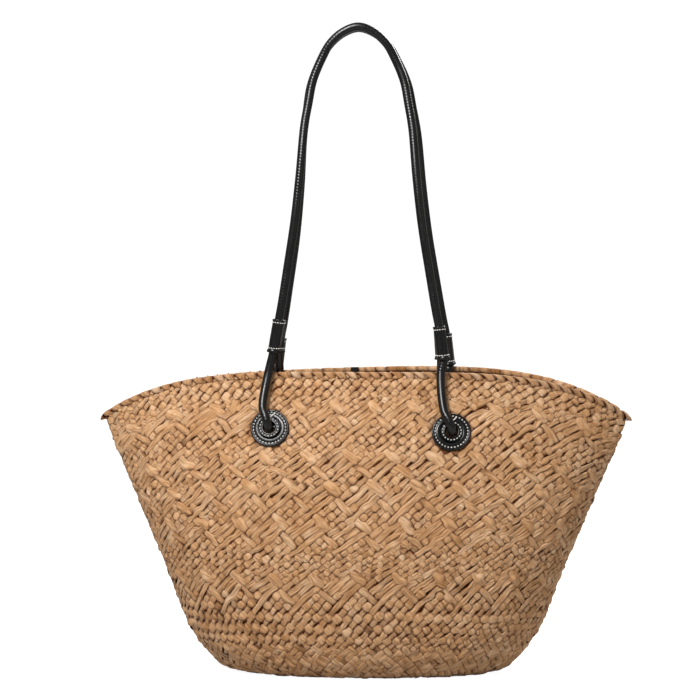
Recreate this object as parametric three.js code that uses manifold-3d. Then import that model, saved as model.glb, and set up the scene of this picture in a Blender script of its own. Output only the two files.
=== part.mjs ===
// Straw basket bag: a flared plaited basket with two rolled leather shoulder handles.
// Millimetres, +Z up. The base stands on z = 0, the front faces -Y, the origin is under the middle.

import * as THREE from 'three';
import { mergeVertices } from 'three/addons/utils/BufferGeometryUtils.js';
import Module from 'manifold-3d';

const wasm = await Module();
wasm.setup();

// Air between two pieces that touch
const fitGap = 0.3;

// Basket: outer sizes of the plaited wall
const wallHeight = 288;
const tipDrop = 44;
const mouthHalfWidth = 256;
const bellyHalfDepth = 94;
const strawThickness = 3;

// Rim braid: how tall it is and how far it stands proud of both faces of the wall
const braidHeight = 6;
const braidProud = 2.2;

// Rolled leather handles
const cordRadius = 4.15;
const strandGap = 1;
const handleDrop = 337.6;
const archDepth = 6;
const archShift = -6;

// Leather sleeves that hold each handle's two strands together above the rim
const sleeveLength = 31.6;
const sleeveThickness = 1;
const sleeveGap = 0.7;
const hemBulge = 0.7;
const sleeveReach = 79.8;
const sleeveLeanIn = 3.3;
const sleeveShift = -3.2;
const sleeveOutset = 1.5;

// Leather eyelets: a flat stitched ring with a raised collar whose neck goes through the wall
const eyeletReach = 86.2;
const eyeletShift = -0.9;
const eyeletBelowRim = 48.6;
const ringRadius = 18.6;
const ringThickness = 1.6;
const collarRadius = 10.1;
const collarThickness = 1.8;
const holeRadius = 5.6;
const neckThickness = 1.4;
const neckProud = 0.4;
const boreGap = 0.6;

// Closing tab on the inner face of the back rim
const tabWidth = 8;
const tabLength = 34;
const tabThickness = 2;
const tabShift = -11.8;

// Sections of the basket from the floor up: height as a share of the wall's height, half width as a
// share of the mouth's, half depth as a share of the belly's, and how sharply the ends are pinched
const bodySections = [
  { height: 0, width: 0.477, depth: 0.62, pinch: 0.8 },
  { height: 0.012, width: 0.532, depth: 0.72, pinch: 0.8 },
  { height: 0.04, width: 0.575, depth: 0.8, pinch: 0.82 },
  { height: 0.085, width: 0.62, depth: 0.865, pinch: 0.84 },
  { height: 0.17, width: 0.676, depth: 0.93, pinch: 0.88 },
  { height: 0.35, width: 0.749, depth: 1, pinch: 0.94 },
  { height: 0.55, width: 0.831, depth: 0.98, pinch: 1 },
  { height: 0.75, width: 0.91, depth: 0.855, pinch: 1.2 },
  { height: 0.9, width: 0.969, depth: 0.66, pinch: 1.45 },
  { height: 1, width: 1, depth: 0.511, pinch: 1.6 },
];
const sectionStep = 0.09;
const wallSegments = 52;

// Dips of the rim: where round the mouth in degrees from +X, how wide, and how deep as a share of
// the drop at the tips
const rimDips = [
  { at: 118, spread: 30, depth: 0.114 },
];

// The four places where a handle meets the wall, in millimetres: the sleeve's shift sideways and its
// foot's lift above the braid, the eyelet's lift from its level, the outer strand's sideways swing at
// the rim and bow at the eyelet, and how far apart the two strands lie at the sleeve's foot, sideways
// and outwards
const anchors = [
  {
    name: 'front_left', face: -1, side: -1, shift: 0, lift: 17.4, eyeletLift: 0.1,
    swing: -4.8, bow: -5.8, aside: 4.5, apart: 7.6,
  },
  {
    name: 'front_right', face: -1, side: 1, shift: 0, lift: 10.8, eyeletLift: -3,
    swing: -2.8, bow: -8, aside: 2.5, apart: 8.4,
  },
  {
    name: 'back_left', face: 1, side: -1, shift: -6, lift: 2, eyeletLift: 0,
    swing: 0, bow: -3, aside: 1, apart: 16,
  },
  {
    name: 'back_right', face: 1, side: 1, shift: 5.5, lift: 2, eyeletLift: 0,
    swing: 0, bow: -3, aside: 1, apart: 16,
  },
];

// Arch of a handle above its sleeves: rise from the sleeve's top to the arch's top, reach from the
// middle and depth from the middle plane, each a share of the value at the sleeve's top
const archRows = [
  { rise: 0.047, reach: 0.966, depth: 1 },
  { rise: 0.169, reach: 0.892, depth: 0.95 },
  { rise: 0.332, reach: 0.798, depth: 0.86 },
  { rise: 0.494, reach: 0.732, depth: 0.68 },
  { rise: 0.657, reach: 0.682, depth: 0.38 },
  { rise: 0.738, reach: 0.632, depth: 0.22 },
  { rise: 0.819, reach: 0.574, depth: 0.08 },
  { rise: 0.9, reach: 0.449, depth: 0 },
  { rise: 0.941, reach: 0.362, depth: 0 },
  { rise: 0.981, reach: 0.2, depth: 0 },
];

// A strand's turn through its eyelet: height above the hole in cord diameters, and distance from the
// middle of the wall as a share of the stand-off on that side
const turnRows = [
  { up: 2.2, out: 1 },
  { up: 1.15, out: 1.1 },
  { up: 0.35, out: 1 },
  { up: -0.04, out: 0.6 },
];
const strandSteps = 2;
const strandSides = 8;

// Materials
const straw = new THREE.MeshStandardMaterial({ color: 0xb9926a, roughness: 0.85, metalness: 0 });
const strawBraid = new THREE.MeshStandardMaterial({ color: 0xa87f56, roughness: 0.85, metalness: 0 });
const rolledLeather = new THREE.MeshStandardMaterial({ color: 0x17181a, roughness: 0.35, metalness: 0 });
const flatLeather = new THREE.MeshStandardMaterial({ color: 0x202124, roughness: 0.5, metalness: 0 });

// Outer half sizes and pinch of the basket at a share of the wall's height
const sectionCurve = new THREE.CubicInterpolant(
  bodySections.map((row) => row.height),
  bodySections.flatMap((row) => [row.width, row.depth, row.pinch]),
  3,
);

function sectionAt(height) {
  const [width, depth, pinch] = sectionCurve.evaluate(height);
  return { halfWidth: width * mouthHalfWidth, halfDepth: depth * bellyHalfDepth, pinch };
}

// How much lower the rim lies at an angle round the mouth than at mid front
function rimDropAt(angle) {
  let drop = tipDrop * Math.cos(angle) ** 4;
  for (const dip of rimDips) {
    const away = Math.abs(THREE.MathUtils.radToDeg(angle) - dip.at) / dip.spread;
    drop += dip.depth * tipDrop * Math.exp(-(away ** 2));
  }
  return drop;
}

// Height above the floor of a share of the wall at an angle round it
function levelAt(angle, height) {
  return height * wallHeight - height ** 2 * rimDropAt(angle);
}

// A point of the wall, some way in from its outer face and up from its level
function wallPoint(angle, height, inset = 0, lift = 0) {
  const { halfWidth, halfDepth, pinch } = sectionAt(height);
  const endInset = inset * Math.max(1, pinch ** 1.5);
  const sine = Math.sin(angle);
  return new THREE.Vector3(
    (halfWidth - endInset) * Math.cos(angle),
    (halfDepth - inset) * Math.sign(sine) * Math.abs(sine) ** pinch,
    levelAt(angle, height) + lift,
  );
}

// Outer half depth and rim level of the wall at a place on its front (face -1) or back (face 1)
function wallAt(face, x, z) {
  let height = Math.min(1, z / wallHeight);
  let angle = 0;
  for (let pass = 0; pass < 8; pass += 1) {
    angle = face * Math.acos(x / sectionAt(height).halfWidth);
    height = Math.min(1, (z + height ** 2 * rimDropAt(angle)) / wallHeight);
  }
  const { halfDepth, pinch } = sectionAt(height);
  return { depth: halfDepth * Math.abs(Math.sin(angle)) ** pinch, rim: levelAt(angle, 1) };
}

function facePoint(face, x, z) {
  return new THREE.Vector3(x, face * wallAt(face, x, z).depth, z);
}

// Directions along, up and out of the wall's face at a place on it
function faceFrame(face, x, z) {
  const reach = ringRadius / 2;
  const along = facePoint(face, x - face * reach, z).sub(facePoint(face, x + face * reach, z)).normalize();
  const slope = facePoint(face, x, z + reach).sub(facePoint(face, x, z - reach)).normalize();
  const out = along.clone().cross(slope).normalize();
  return { along, up: out.clone().cross(along), out };
}

// A point given along, up and out from a place on the wall, bent with the wall
function drapedPoint(face, x, z, along, up, out) {
  const frame = faceFrame(face, x, z);
  const spot = facePoint(face, x - face * along, z + up * frame.up.z);
  return spot.addScaledVector(frame.out, out);
}

// A closed skin over rings of points: the ends meet in poles, or the last ring meets the first
function skinGeometry(rings, poles = []) {
  const count = rings[0].length;
  const points = [...rings.flat(), ...poles];
  const indices = [];
  const bands = poles.length ? rings.length - 1 : rings.length;
  for (let row = 0; row < bands; row += 1) {
    const lower = row * count;
    const upper = ((row + 1) % rings.length) * count;
    for (let step = 0; step < count; step += 1) {
      const next = (step + 1) % count;
      indices.push(lower + step, lower + next, upper + next);
      indices.push(lower + step, upper + next, upper + step);
    }
  }
  if (poles.length) {
    const first = rings.length * count;
    const last = (rings.length - 1) * count;
    for (let step = 0; step < count; step += 1) {
      const next = (step + 1) % count;
      indices.push(first, next, step);
      indices.push(first + 1, last + step, last + next);
    }
  }
  const geometry = new THREE.BufferGeometry().setFromPoints(points);
  geometry.setIndex(indices);
  geometry.computeVertexNormals();
  return geometry;
}

function toSolid(geometry) {
  const bare = geometry.clone();
  bare.deleteAttribute('normal');
  bare.deleteAttribute('uv');
  const merged = mergeVertices(bare);
  return new wasm.Manifold(new wasm.Mesh({
    numProp: 3,
    vertProperties: Float32Array.from(merged.attributes.position.array),
    triVerts: Uint32Array.from(merged.index.array),
  }));
}

function fromSolid(solid) {
  const mesh = solid.getMesh();
  const geometry = new THREE.BufferGeometry();
  geometry.setAttribute('position', new THREE.BufferAttribute(mesh.vertProperties, 3));
  geometry.setIndex(new THREE.BufferAttribute(mesh.triVerts, 1));
  geometry.computeVertexNormals();
  return geometry;
}

// Angles round the basket
const wallAngles = Array.from({ length: wallSegments }, (_, step) => (step / wallSegments) * 2 * Math.PI);

// Heights of the wall's rings: each stretch between two sections is cut into even steps
function ringHeights() {
  const heights = [bodySections[0].height];
  bodySections.slice(1).forEach((row, index) => {
    const start = bodySections[index].height;
    const steps = Math.max(1, Math.round((row.height - start) / sectionStep));
    for (let step = 1; step <= steps; step += 1) {
      heights.push(start + ((row.height - start) * step) / steps);
    }
  });
  return heights;
}

// Basket: base and wall in one shell, open at the mouth, with a bore for each eyelet
const boreRadius = holeRadius + neckThickness + boreGap;

function eyeletPlace(anchor) {
  return {
    x: anchor.side * eyeletReach + eyeletShift,
    z: wallHeight - eyeletBelowRim + anchor.eyeletLift,
  };
}

function basketGeometry() {
  const heights = ringHeights();
  const floorBlend = bodySections[4].height;
  const outer = heights.map((height) => wallAngles.map((angle) => wallPoint(angle, height)));
  const inner = heights.map((height) => {
    const lift = strawThickness * Math.max(0, 1 - height / floorBlend);
    return wallAngles.map((angle) => wallPoint(angle, height, strawThickness, lift));
  });
  const poles = [new THREE.Vector3(0, 0, 0), new THREE.Vector3(0, 0, strawThickness)];
  let solid = toSolid(skinGeometry([...outer, ...inner.reverse()], poles));
  for (const anchor of anchors) {
    const { x, z } = eyeletPlace(anchor);
    const { out } = faceFrame(anchor.face, x, z);
    const cutter = new THREE.CylinderGeometry(boreRadius, boreRadius, strawThickness * 6, 24);
    cutter.applyQuaternion(new THREE.Quaternion().setFromUnitVectors(new THREE.Vector3(0, 1, 0), out));
    const spot = facePoint(anchor.face, x, z);
    cutter.translate(spot.x, spot.y, spot.z);
    solid = solid.subtract(toSolid(cutter));
  }
  return fromSolid(solid);
}

// Rim braid: a rounded band on the wall's edge, given by inset from the outer face and lift
function braidGeometry() {
  const outside = -braidProud;
  const inside = strawThickness + braidProud;
  const round = braidHeight * 0.28;
  const outline = [
    [outside + round, 0], [outside, round], [outside, braidHeight - round],
    [outside + round, braidHeight], [inside - round, braidHeight],
    [inside, braidHeight - round], [inside, round], [inside - round, 0],
  ];
  return skinGeometry(outline.map(([inset, lift]) => (
    wallAngles.map((angle) => wallPoint(angle, 1, inset, lift + fitGap))
  )));
}

// Eyelet pieces are turned about the hole's axis and then bent to the wall
function drapedLathe(anchor, profile, segments) {
  const closed = [...profile, profile[0]];
  const geometry = new THREE.LatheGeometry(closed.map(([r, w]) => new THREE.Vector2(r, w)), segments);
  geometry.rotateX(Math.PI / 2);
  geometry.deleteAttribute('normal');
  geometry.deleteAttribute('uv');
  const merged = mergeVertices(geometry, 1e-3);
  const { x, z } = eyeletPlace(anchor);
  const position = merged.attributes.position;
  for (let index = 0; index < position.count; index += 1) {
    const local = new THREE.Vector3().fromBufferAttribute(position, index);
    const bent = drapedPoint(anchor.face, x, z, local.x, local.y, local.z);
    position.setXYZ(index, bent.x, bent.y, bent.z);
  }
  merged.computeVertexNormals();
  return merged;
}

const ringTop = fitGap + ringThickness;
const collarSeat = ringTop + fitGap;
const collarTop = collarSeat + collarThickness;

function ringGeometry(anchor) {
  const edge = ringThickness * 0.3;
  return drapedLathe(anchor, [
    [boreRadius, fitGap], [ringRadius - edge, fitGap], [ringRadius, fitGap + edge],
    [ringRadius, ringTop - edge], [ringRadius - edge, ringTop], [boreRadius, ringTop],
  ], 28);
}

function collarGeometry(anchor) {
  const edge = collarThickness * 0.35;
  const neckRadius = holeRadius + neckThickness;
  const neckEnd = -(strawThickness + neckProud);
  return drapedLathe(anchor, [
    [holeRadius, neckEnd], [neckRadius, neckEnd], [neckRadius, collarSeat], [collarRadius, collarSeat],
    [collarRadius, collarTop - edge], [collarRadius - edge, collarTop],
    [holeRadius + edge, collarTop], [holeRadius, collarTop - edge],
  ], 20);
}

// Foot and top of a sleeve, with the line between its two strands at each end
function sleevePlan(anchor) {
  const { face, side } = anchor;
  const footX = side * sleeveReach + sleeveShift + anchor.shift;
  const { depth, rim } = wallAt(face, footX, wallHeight);
  const rimMiddle = depth - strawThickness / 2;
  const footZ = rim + fitGap + braidHeight + anchor.lift;
  const strandPitch = 2 * cordRadius + fitGap;
  return {
    foot: new THREE.Vector3(footX, face * (rimMiddle + sleeveOutset), footZ),
    top: new THREE.Vector3(footX - side * sleeveLeanIn, face * (rimMiddle + sleeveOutset), footZ + sleeveLength),
    footSpread: new THREE.Vector3(side * anchor.aside, face * anchor.apart, 0),
    topSpread: new THREE.Vector3(0, face * strandPitch, 0),
  };
}

// A point of the outer (way 1) or returning (way -1) strand inside the sleeve
function strandInSleeve(plan, share, way) {
  const spread = plan.footSpread.clone().lerp(plan.topSpread, share);
  return plan.foot.clone().lerp(plan.top, share).addScaledVector(spread, way / 2);
}

// One end of a handle, from where it stops in the sleeve, down inside the bag, out through the
// eyelet, up over the outside and through the sleeve again
function endRoute(anchor) {
  const plan = sleevePlan(anchor);
  const { face } = anchor;
  const { x, z } = eyeletPlace(anchor);
  const wallMiddle = -strawThickness / 2;
  const outside = collarTop + fitGap + cordRadius - wallMiddle;
  const inside = strawThickness + neckProud + fitGap + cordRadius + wallMiddle;
  const diameter = 2 * cordRadius;

  const turnStart = turnRows[0].up * diameter;
  const turnPoint = (row, way) => {
    const standOff = way > 0 ? outside : inside;
    const aside = way > 0 ? (anchor.bow * Math.max(0, row.up * diameter)) / turnStart : 0;
    return drapedPoint(face, x, z, -face * aside, row.up * diameter, wallMiddle + way * row.out * standOff);
  };

  const beside = (strand, way) => {
    const acrossX = strand.x + (way > 0 ? anchor.swing : 0);
    const { depth, rim } = wallAt(face, acrossX, wallHeight);
    const edge = way > 0 ? depth + braidProud : depth - strawThickness - braidProud;
    return new THREE.Vector3(acrossX, face * (edge + way * (strandGap + cordRadius)), rim + braidHeight / 2);
  };

  const returnFoot = strandInSleeve(plan, 0, -1);
  const outerFoot = strandInSleeve(plan, 0, 1);
  return [
    strandInSleeve(plan, 0.85, -1),
    strandInSleeve(plan, 0.4, -1),
    returnFoot,
    beside(returnFoot, -1),
    ...turnRows.map((row) => turnPoint(row, -1)),
    drapedPoint(face, x, z, 0, 0, wallMiddle),
    ...turnRows.toReversed().map((row) => turnPoint(row, 1)),
    beside(outerFoot, 1),
    outerFoot,
    strandInSleeve(plan, 0.5, 1),
    strandInSleeve(plan, 1, 1),
  ];
}

// The arch between two sleeves, from one sleeve's top to the crown
function archRoute(anchor) {
  const start = strandInSleeve(sleevePlan(anchor), 1, 1);
  const archTop = wallHeight + handleDrop;
  const startShift = sleeveShift;
  return archRows.map((row) => {
    const shift = THREE.MathUtils.lerp(startShift, archShift, row.rise);
    const reach = (start.x - startShift) * row.reach;
    const depth = THREE.MathUtils.lerp(anchor.face * archDepth, start.y, row.depth);
    return new THREE.Vector3(shift + reach, depth, THREE.MathUtils.lerp(start.z, archTop, row.rise));
  });
}

// A curve whose steps are shared out evenly between its points, so tight turns get short steps
class RouteCurve extends THREE.CatmullRomCurve3 {
  getPointAt(share) {
    return this.getPoint(share);
  }

  getTangentAt(share) {
    return this.getTangent(share);
  }
}

function handleGeometry(face) {
  const [left, right] = anchors.filter((anchor) => anchor.face === face);
  const crown = new THREE.Vector3(archShift, face * archDepth, wallHeight + handleDrop);
  const route = [
    ...endRoute(left), ...archRoute(left), crown,
    ...archRoute(right).toReversed(), ...endRoute(right).toReversed(),
  ];
  const section = new THREE.Shape(Array.from({ length: strandSides }, (_, side) => {
    const turn = (side / strandSides) * 2 * Math.PI;
    return new THREE.Vector2(cordRadius * Math.cos(turn), cordRadius * Math.sin(turn));
  }));
  return new THREE.ExtrudeGeometry(section, {
    extrudePath: new RouteCurve(route),
    steps: (route.length - 1) * strandSteps,
    bevelEnabled: false,
  });
}

// Sleeve: a band wrapped round both strands, with a rolled hem at its foot and its top
const sleeveRows = [
  { share: 0, bulge: 0.6 },
  { share: 0.05, bulge: 1 },
  { share: 0.1, bulge: 0.1 },
  { share: 0.93, bulge: 0 },
  { share: 0.965, bulge: 0.8 },
  { share: 1, bulge: 0.5 },
];
const sleeveSides = 14;

function sleeveGeometry(anchor) {
  const plan = sleevePlan(anchor);
  const axis = plan.top.clone().sub(plan.foot).normalize();
  const innerRadius = (cordRadius + sleeveGap) / Math.cos(Math.PI / sleeveSides);
  const ring = (share, radius) => {
    const centre = plan.foot.clone().lerp(plan.top, share);
    const spread = plan.footSpread.clone().lerp(plan.topSpread, share);
    const main = spread.clone().normalize();
    const across = axis.clone().cross(main).normalize();
    return Array.from({ length: sleeveSides }, (_, side) => {
      const turn = ((side + 0.5) / sleeveSides) * 2 * Math.PI;
      const way = Math.sign(Math.cos(turn));
      return centre.clone()
        .addScaledVector(spread, way / 2)
        .addScaledVector(main, radius * Math.cos(turn))
        .addScaledVector(across, radius * Math.sin(turn));
    });
  };
  const outer = sleeveRows.map((row) => ring(row.share, innerRadius + sleeveThickness + row.bulge * hemBulge));
  const inner = [1, 0.5, 0].map((share) => ring(share, innerRadius));
  return skinGeometry([...outer, ...inner]);
}

// Closing tab: a leather tongue that hangs from the braid inside the back wall
function tabGeometry() {
  const { depth, rim } = wallAt(1, tabShift, wallHeight);
  const half = tabWidth / 2;
  const outline = new THREE.Shape();
  outline.moveTo(-half, 0);
  outline.lineTo(-half, half - tabLength);
  outline.absarc(0, half - tabLength, half, Math.PI, 2 * Math.PI, false);
  outline.lineTo(half, 0);
  const geometry = new THREE.ExtrudeGeometry(outline, { depth: tabThickness, bevelEnabled: false, curveSegments: 8 });
  geometry.rotateX(Math.PI / 2);
  geometry.translate(tabShift, depth - strawThickness - braidProud - fitGap, rim + fitGap + braidHeight);
  return geometry;
}

const bag = new THREE.Group();

function addPiece(name, geometry, material) {
  const mesh = new THREE.Mesh(geometry, material);
  mesh.name = name;
  bag.add(mesh);
}

addPiece('basket', basketGeometry(), straw);
addPiece('rim_braid', braidGeometry(), strawBraid);
addPiece('handle_front', handleGeometry(-1), rolledLeather);
addPiece('handle_back', handleGeometry(1), rolledLeather);
for (const anchor of anchors) {
  addPiece(`sleeve_${anchor.name}`, sleeveGeometry(anchor), rolledLeather);
  addPiece(`eyelet_ring_${anchor.name}`, ringGeometry(anchor), flatLeather);
  addPiece(`eyelet_collar_${anchor.name}`, collarGeometry(anchor), flatLeather);
}
addPiece('closing_tab', tabGeometry(), flatLeather);

export default bag;
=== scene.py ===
"""Straw basket bag: plaited wall, wrapped rim, rolled leather handles, stitched eyelets and a plain stage."""

import math

import bmesh
import bpy
import numpy as np
from bpy.props import FloatProperty, FloatVectorProperty, IntProperty, PointerProperty
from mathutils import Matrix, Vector


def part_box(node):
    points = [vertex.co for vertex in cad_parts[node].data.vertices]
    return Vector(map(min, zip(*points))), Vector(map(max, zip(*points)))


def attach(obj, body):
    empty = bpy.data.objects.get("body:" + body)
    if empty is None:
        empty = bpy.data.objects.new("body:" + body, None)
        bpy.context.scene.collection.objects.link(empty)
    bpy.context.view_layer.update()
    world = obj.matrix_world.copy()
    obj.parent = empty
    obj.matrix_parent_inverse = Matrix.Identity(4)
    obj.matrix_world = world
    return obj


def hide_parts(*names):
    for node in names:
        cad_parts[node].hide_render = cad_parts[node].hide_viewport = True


bl_info = {
    "name": "Straw Basket Bag",
    "version": (1, 0, 0),
    "blender": (4, 5, 0),
    "location": "View3D > Sidebar > Straw Bag",
    "description": "Dresses the basket bag's solids in plaited straw and stitched leather",
    "category": "Object",
}

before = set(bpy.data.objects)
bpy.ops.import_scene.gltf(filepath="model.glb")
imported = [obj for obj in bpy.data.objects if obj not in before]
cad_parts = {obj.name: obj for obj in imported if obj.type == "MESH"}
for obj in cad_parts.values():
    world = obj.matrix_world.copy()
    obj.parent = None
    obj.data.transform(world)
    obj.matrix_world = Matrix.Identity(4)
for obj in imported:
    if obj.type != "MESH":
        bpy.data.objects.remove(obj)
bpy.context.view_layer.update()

MM = 0.001

# Sections of the basket from the floor up: height as a share of the wall's height, half width as a
# share of the mouth's, half depth as a share of the belly's, and how sharply the ends are pinched
BODY_SECTIONS = np.array([
    (0.0, 0.477, 0.62, 0.8),
    (0.012, 0.532, 0.72, 0.8),
    (0.04, 0.575, 0.8, 0.82),
    (0.085, 0.62, 0.865, 0.84),
    (0.17, 0.676, 0.93, 0.88),
    (0.35, 0.749, 1.0, 0.94),
    (0.55, 0.831, 0.98, 1.0),
    (0.75, 0.91, 0.855, 1.2),
    (0.9, 0.969, 0.66, 1.45),
    (1.0, 1.0, 0.511, 1.6),
])
FLOOR_BLEND = 0.17

# Dip of the rim: where round the mouth in degrees, how wide, and its share of the drop at the tips
RIM_DIP = (118.0, 30.0, 0.114)

# The four places where a handle meets the wall: face and side, then in millimetres the sleeve's shift
# and lift, the eyelet's lift, the outer strand's swing at the rim and bow at the eyelet, and how far
# apart the two strands are at the sleeve's foot, aside and out
ANCHORS = {
    "front_left": (-1, -1, 0.0, 17.4, 0.1, -4.8, -5.8, 4.5, 7.6),
    "front_right": (-1, 1, 0.0, 10.8, -3.0, -2.8, -8.0, 2.5, 8.4),
    "back_left": (1, -1, -6.0, 2.0, 0.0, 0.0, -3.0, 1.0, 16.0),
    "back_right": (1, 1, 5.5, 2.0, 0.0, 0.0, -3.0, 1.0, 16.0),
}
SLEEVE_SHIFT = -3.2
EYELET_SHIFT = -0.9

# Arch of a handle: rise to its top, reach from the middle and depth, each a share of the sleeve top's
ARCH_ROWS = [
    (0.047, 0.966, 1.0), (0.169, 0.892, 0.95), (0.332, 0.798, 0.86), (0.494, 0.732, 0.68),
    (0.657, 0.682, 0.38), (0.738, 0.632, 0.22), (0.819, 0.574, 0.08), (0.9, 0.449, 0.0),
    (0.941, 0.362, 0.0), (0.981, 0.2, 0.0),
]

# A strand's turn through its eyelet: height above the hole in cord diameters, and its stand-off
TURN_ROWS = [(2.2, 1.0), (1.15, 1.1), (0.35, 1.0), (-0.04, 0.6)]

# Rows of the plait down from the rim, and the share of the wall's height at which each lies
ROW_SHARES = np.array([
    (0.0, 1.0), (1.0, 0.978), (2.0, 0.945), (3.0, 0.923), (4.0, 0.902), (10.0, 0.739), (14.0, 0.641),
    (18.0, 0.526), (21.0, 0.443), (25.0, 0.344), (27.0, 0.288), (28.0, 0.254), (29.0, 0.214), (30.0, 0.174),
    (31.0, 0.137), (32.0, 0.108), (33.0, 0.086), (34.0, 0.063), (35.0, 0.041), (36.0, 0.02), (37.0, 0.0),
])
LAST_ROW = 37
PAIRED_ROW = 32

# How the columns lie at shares of the height: how much closer at mid front, and a shift in columns
COLUMN_LEAN = np.array([
    (0.0, 0.0, 0.0), (0.1, -0.05, -0.1), (0.2, -0.12, -0.2), (0.344, -0.065, -0.25), (0.526, -0.02, 0.4),
    (0.641, 0.0, 0.48), (0.739, 0.02, 0.0), (0.902, 0.135, 0.45), (1.0, 0.1, 0.4),
])

# Zigzag motifs in the plait: the row of each one's wide float, and its column from the front's middle
MOTIFS = [(4, 1), (10, 3), (14, 1), (18, 0), (25, 0)]
MOTIF_PITCH = 4
FRONT_COLUMN = 75

# Falling floats of a motif: column and row from its middle, then width and crown in millimetres
FALLING_FLOATS = [
    (-0.5, -0.5, 11.0, 0.45), (0.0, 0.0, 13.6, 0.75), (0.5, 0.5, 11.0, 0.45),
    (0.5, 1.5, 7.2, 0.25), (1.0, 2.0, 8.8, 0.5), (1.5, 2.5, 7.2, 0.25),
]

# Crossings of a motif, as columns and rows from its middle, where a rising strand stays on top
RISING_ON_TOP = [
    (-1.0, -1.0), (-1.0, 0.0), (-2.0, 1.0), (-1.0, 1.0), (0.0, 1.0), (1.0, 1.0), (-1.0, 2.0), (-2.0, 3.0),
]

# Width, shoulder and crown in millimetres of a strand of each direction where it is under or over
UNDER = {"falling": (4.6, 0.0, 0.0), "rising": (6.0, 0.0, 0.0)}
OVER = {"falling": (10.6, 0.4, 0.1), "rising": (5.2, 0.1, 0.05)}
RISING_FLOAT = (6.5, 0.4, -0.35)
PAIRED = (8.8, 0.05, 0.1)

# Outline of a strand: across and out of it as shares of its half width and thickness, and the
# crown's share, then the way round that outline in metres for its UV map
STRAND_OUTLINE = [
    (0.0, -0.9, 0), (1.0, -0.1, 0), (0.55, 0.85, 0), (0.0, 0.9, 1), (-0.55, 0.85, 0), (-1.0, -0.1, 0),
]
STRAND_ACROSS = np.array([0.0, 2.6, 5.2, 7.8, 10.4, 14.8, 19.2]) * MM

# Samples of a strand between two crossings, and how much steeper than eased it dives there
STRAND_SAMPLES = 3
STEEPNESS = 1.7

# How much a strand varies from crossing to crossing: its width as a share, its rise, shoulder, crown
# and place in millimetres, its twist in degrees, and its tone, which also varies from strand to strand
VARIES = {
    "width": 0.09, "rise": 0.24, "shoulder": 0.18, "crown": 0.18, "aside": 0.5, "twist": 12.0, "tone": 0.04,
    "strand tone": 0.06,
}

# How far along its fibres each strand's pattern starts from its neighbour's, in metres
FIBRE_SHIFT = 0.37


def linear(code):
    """An sRGB hex colour as linear red, green, blue and alpha."""
    channels = [int(code[start:start + 2], 16) / 255 for start in (1, 3, 5)]
    return [c / 12.92 if c <= 0.04045 else ((c + 0.055) / 1.055) ** 2.4 for c in channels] + [1]


def length(name, description, default):
    """A length in metres that a user can change."""
    return FloatProperty(name=name, description=description, default=default, unit="LENGTH")


def colour(name, description, code):
    """A colour that a user can change, from its sRGB hex code."""
    return FloatVectorProperty(
        name=name, description=description, default=linear(code), size=4, subtype="COLOR")


class BagSizes(bpy.types.PropertyGroup):
    """Sizes of the bag's own pieces, as the frame has them."""

    wall_height: length("Wall Height", "Height of the wall at mid front", 0.288)
    tip_drop: length("Tip Drop", "How much lower the rim is at its two tips", 0.044)
    mouth_half_width: length("Mouth Half Width", "Middle to tip at the rim", 0.256)
    belly_half_depth: length("Belly Half Depth", "Middle to front at the belly", 0.094)
    straw_thickness: length("Straw Thickness", "Thickness of the plaited wall", 0.003)
    fit_gap: length("Fit Gap", "Air between two pieces that touch", 0.0003)
    braid_height: length("Braid Height", "Height of the wrapped rim", 0.006)
    braid_proud: length("Braid Proud", "How far the rim stands proud of the wall", 0.0022)
    cord_radius: length("Cord Radius", "Radius of a rolled handle", 0.00415)
    strand_gap: length("Strand Gap", "Air between a handle and the rim", 0.001)
    handle_drop: length("Handle Drop", "Rim to the top of the arch", 0.3376)
    arch_depth: length("Arch Depth", "Each arch top from the middle plane", 0.006)
    arch_shift: length("Arch Shift", "Arch tops from the middle, sideways", -0.006)
    sleeve_length: length("Sleeve Length", "Length of a leather sleeve", 0.0316)
    sleeve_reach: length("Sleeve Reach", "Middle to a sleeve's foot", 0.0798)
    eyelet_reach: length("Eyelet Reach", "Middle to an eyelet", 0.0862)
    eyelet_below_rim: length("Eyelet Below Rim", "Rim to an eyelet's middle", 0.0486)
    ring_radius: length("Ring Radius", "Outer radius of an eyelet's ring", 0.0186)


class PlaitSettings(bpy.types.PropertyGroup):
    """How the straw is plaited."""

    columns: IntProperty(
        name="Columns", description="Strands of one direction round the basket", default=100, min=40)
    strand_half_thickness: length("Strand Half Thickness", "Half the thickness of a strand", 0.00085)
    strand_rise: length("Strand Rise", "How far a strand leaves the wall's middle", 0.00108)
    unevenness: FloatProperty(
        name="Unevenness", description="How uneven the plaiting is", default=1.0, min=0.0, subtype="FACTOR")
    rim_wraps: IntProperty(
        name="Rim Wraps", description="Turns of straw round the rim", default=98, min=20)
    seed: IntProperty(name="Seed", description="Seed of the straw's unevenness", default=7)


class BagColours(bpy.types.PropertyGroup):
    """Colours of the straw and its painted shadow, the leather, the thread and the floor."""

    straw_light: colour("Light Straw", "Palest strands", "#E4C3A0")
    straw_mid: colour("Straw", "Most of the strands", "#C99A6D")
    straw_dark: colour("Dark Straw", "Brownest strands", "#A26E3A")
    # Painted shade: the colour that straw is painted where it lies low between and under other strands
    straw_painted_shadow: colour("Straw Shadow", "Between the strands", "#5A2B08")
    leather: colour("Leather", "Handles, eyelets and tab", "#0A0A0B")
    thread: colour("Thread", "Waxed stitching", "#F4F1EA")
    floor: colour("Floor", "Floor of the stage", "#FFFFFF")


def unit(vectors):
    """Vectors of length one."""
    return vectors / np.maximum(np.linalg.norm(vectors, axis=-1, keepdims=True), 1e-12)


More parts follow.
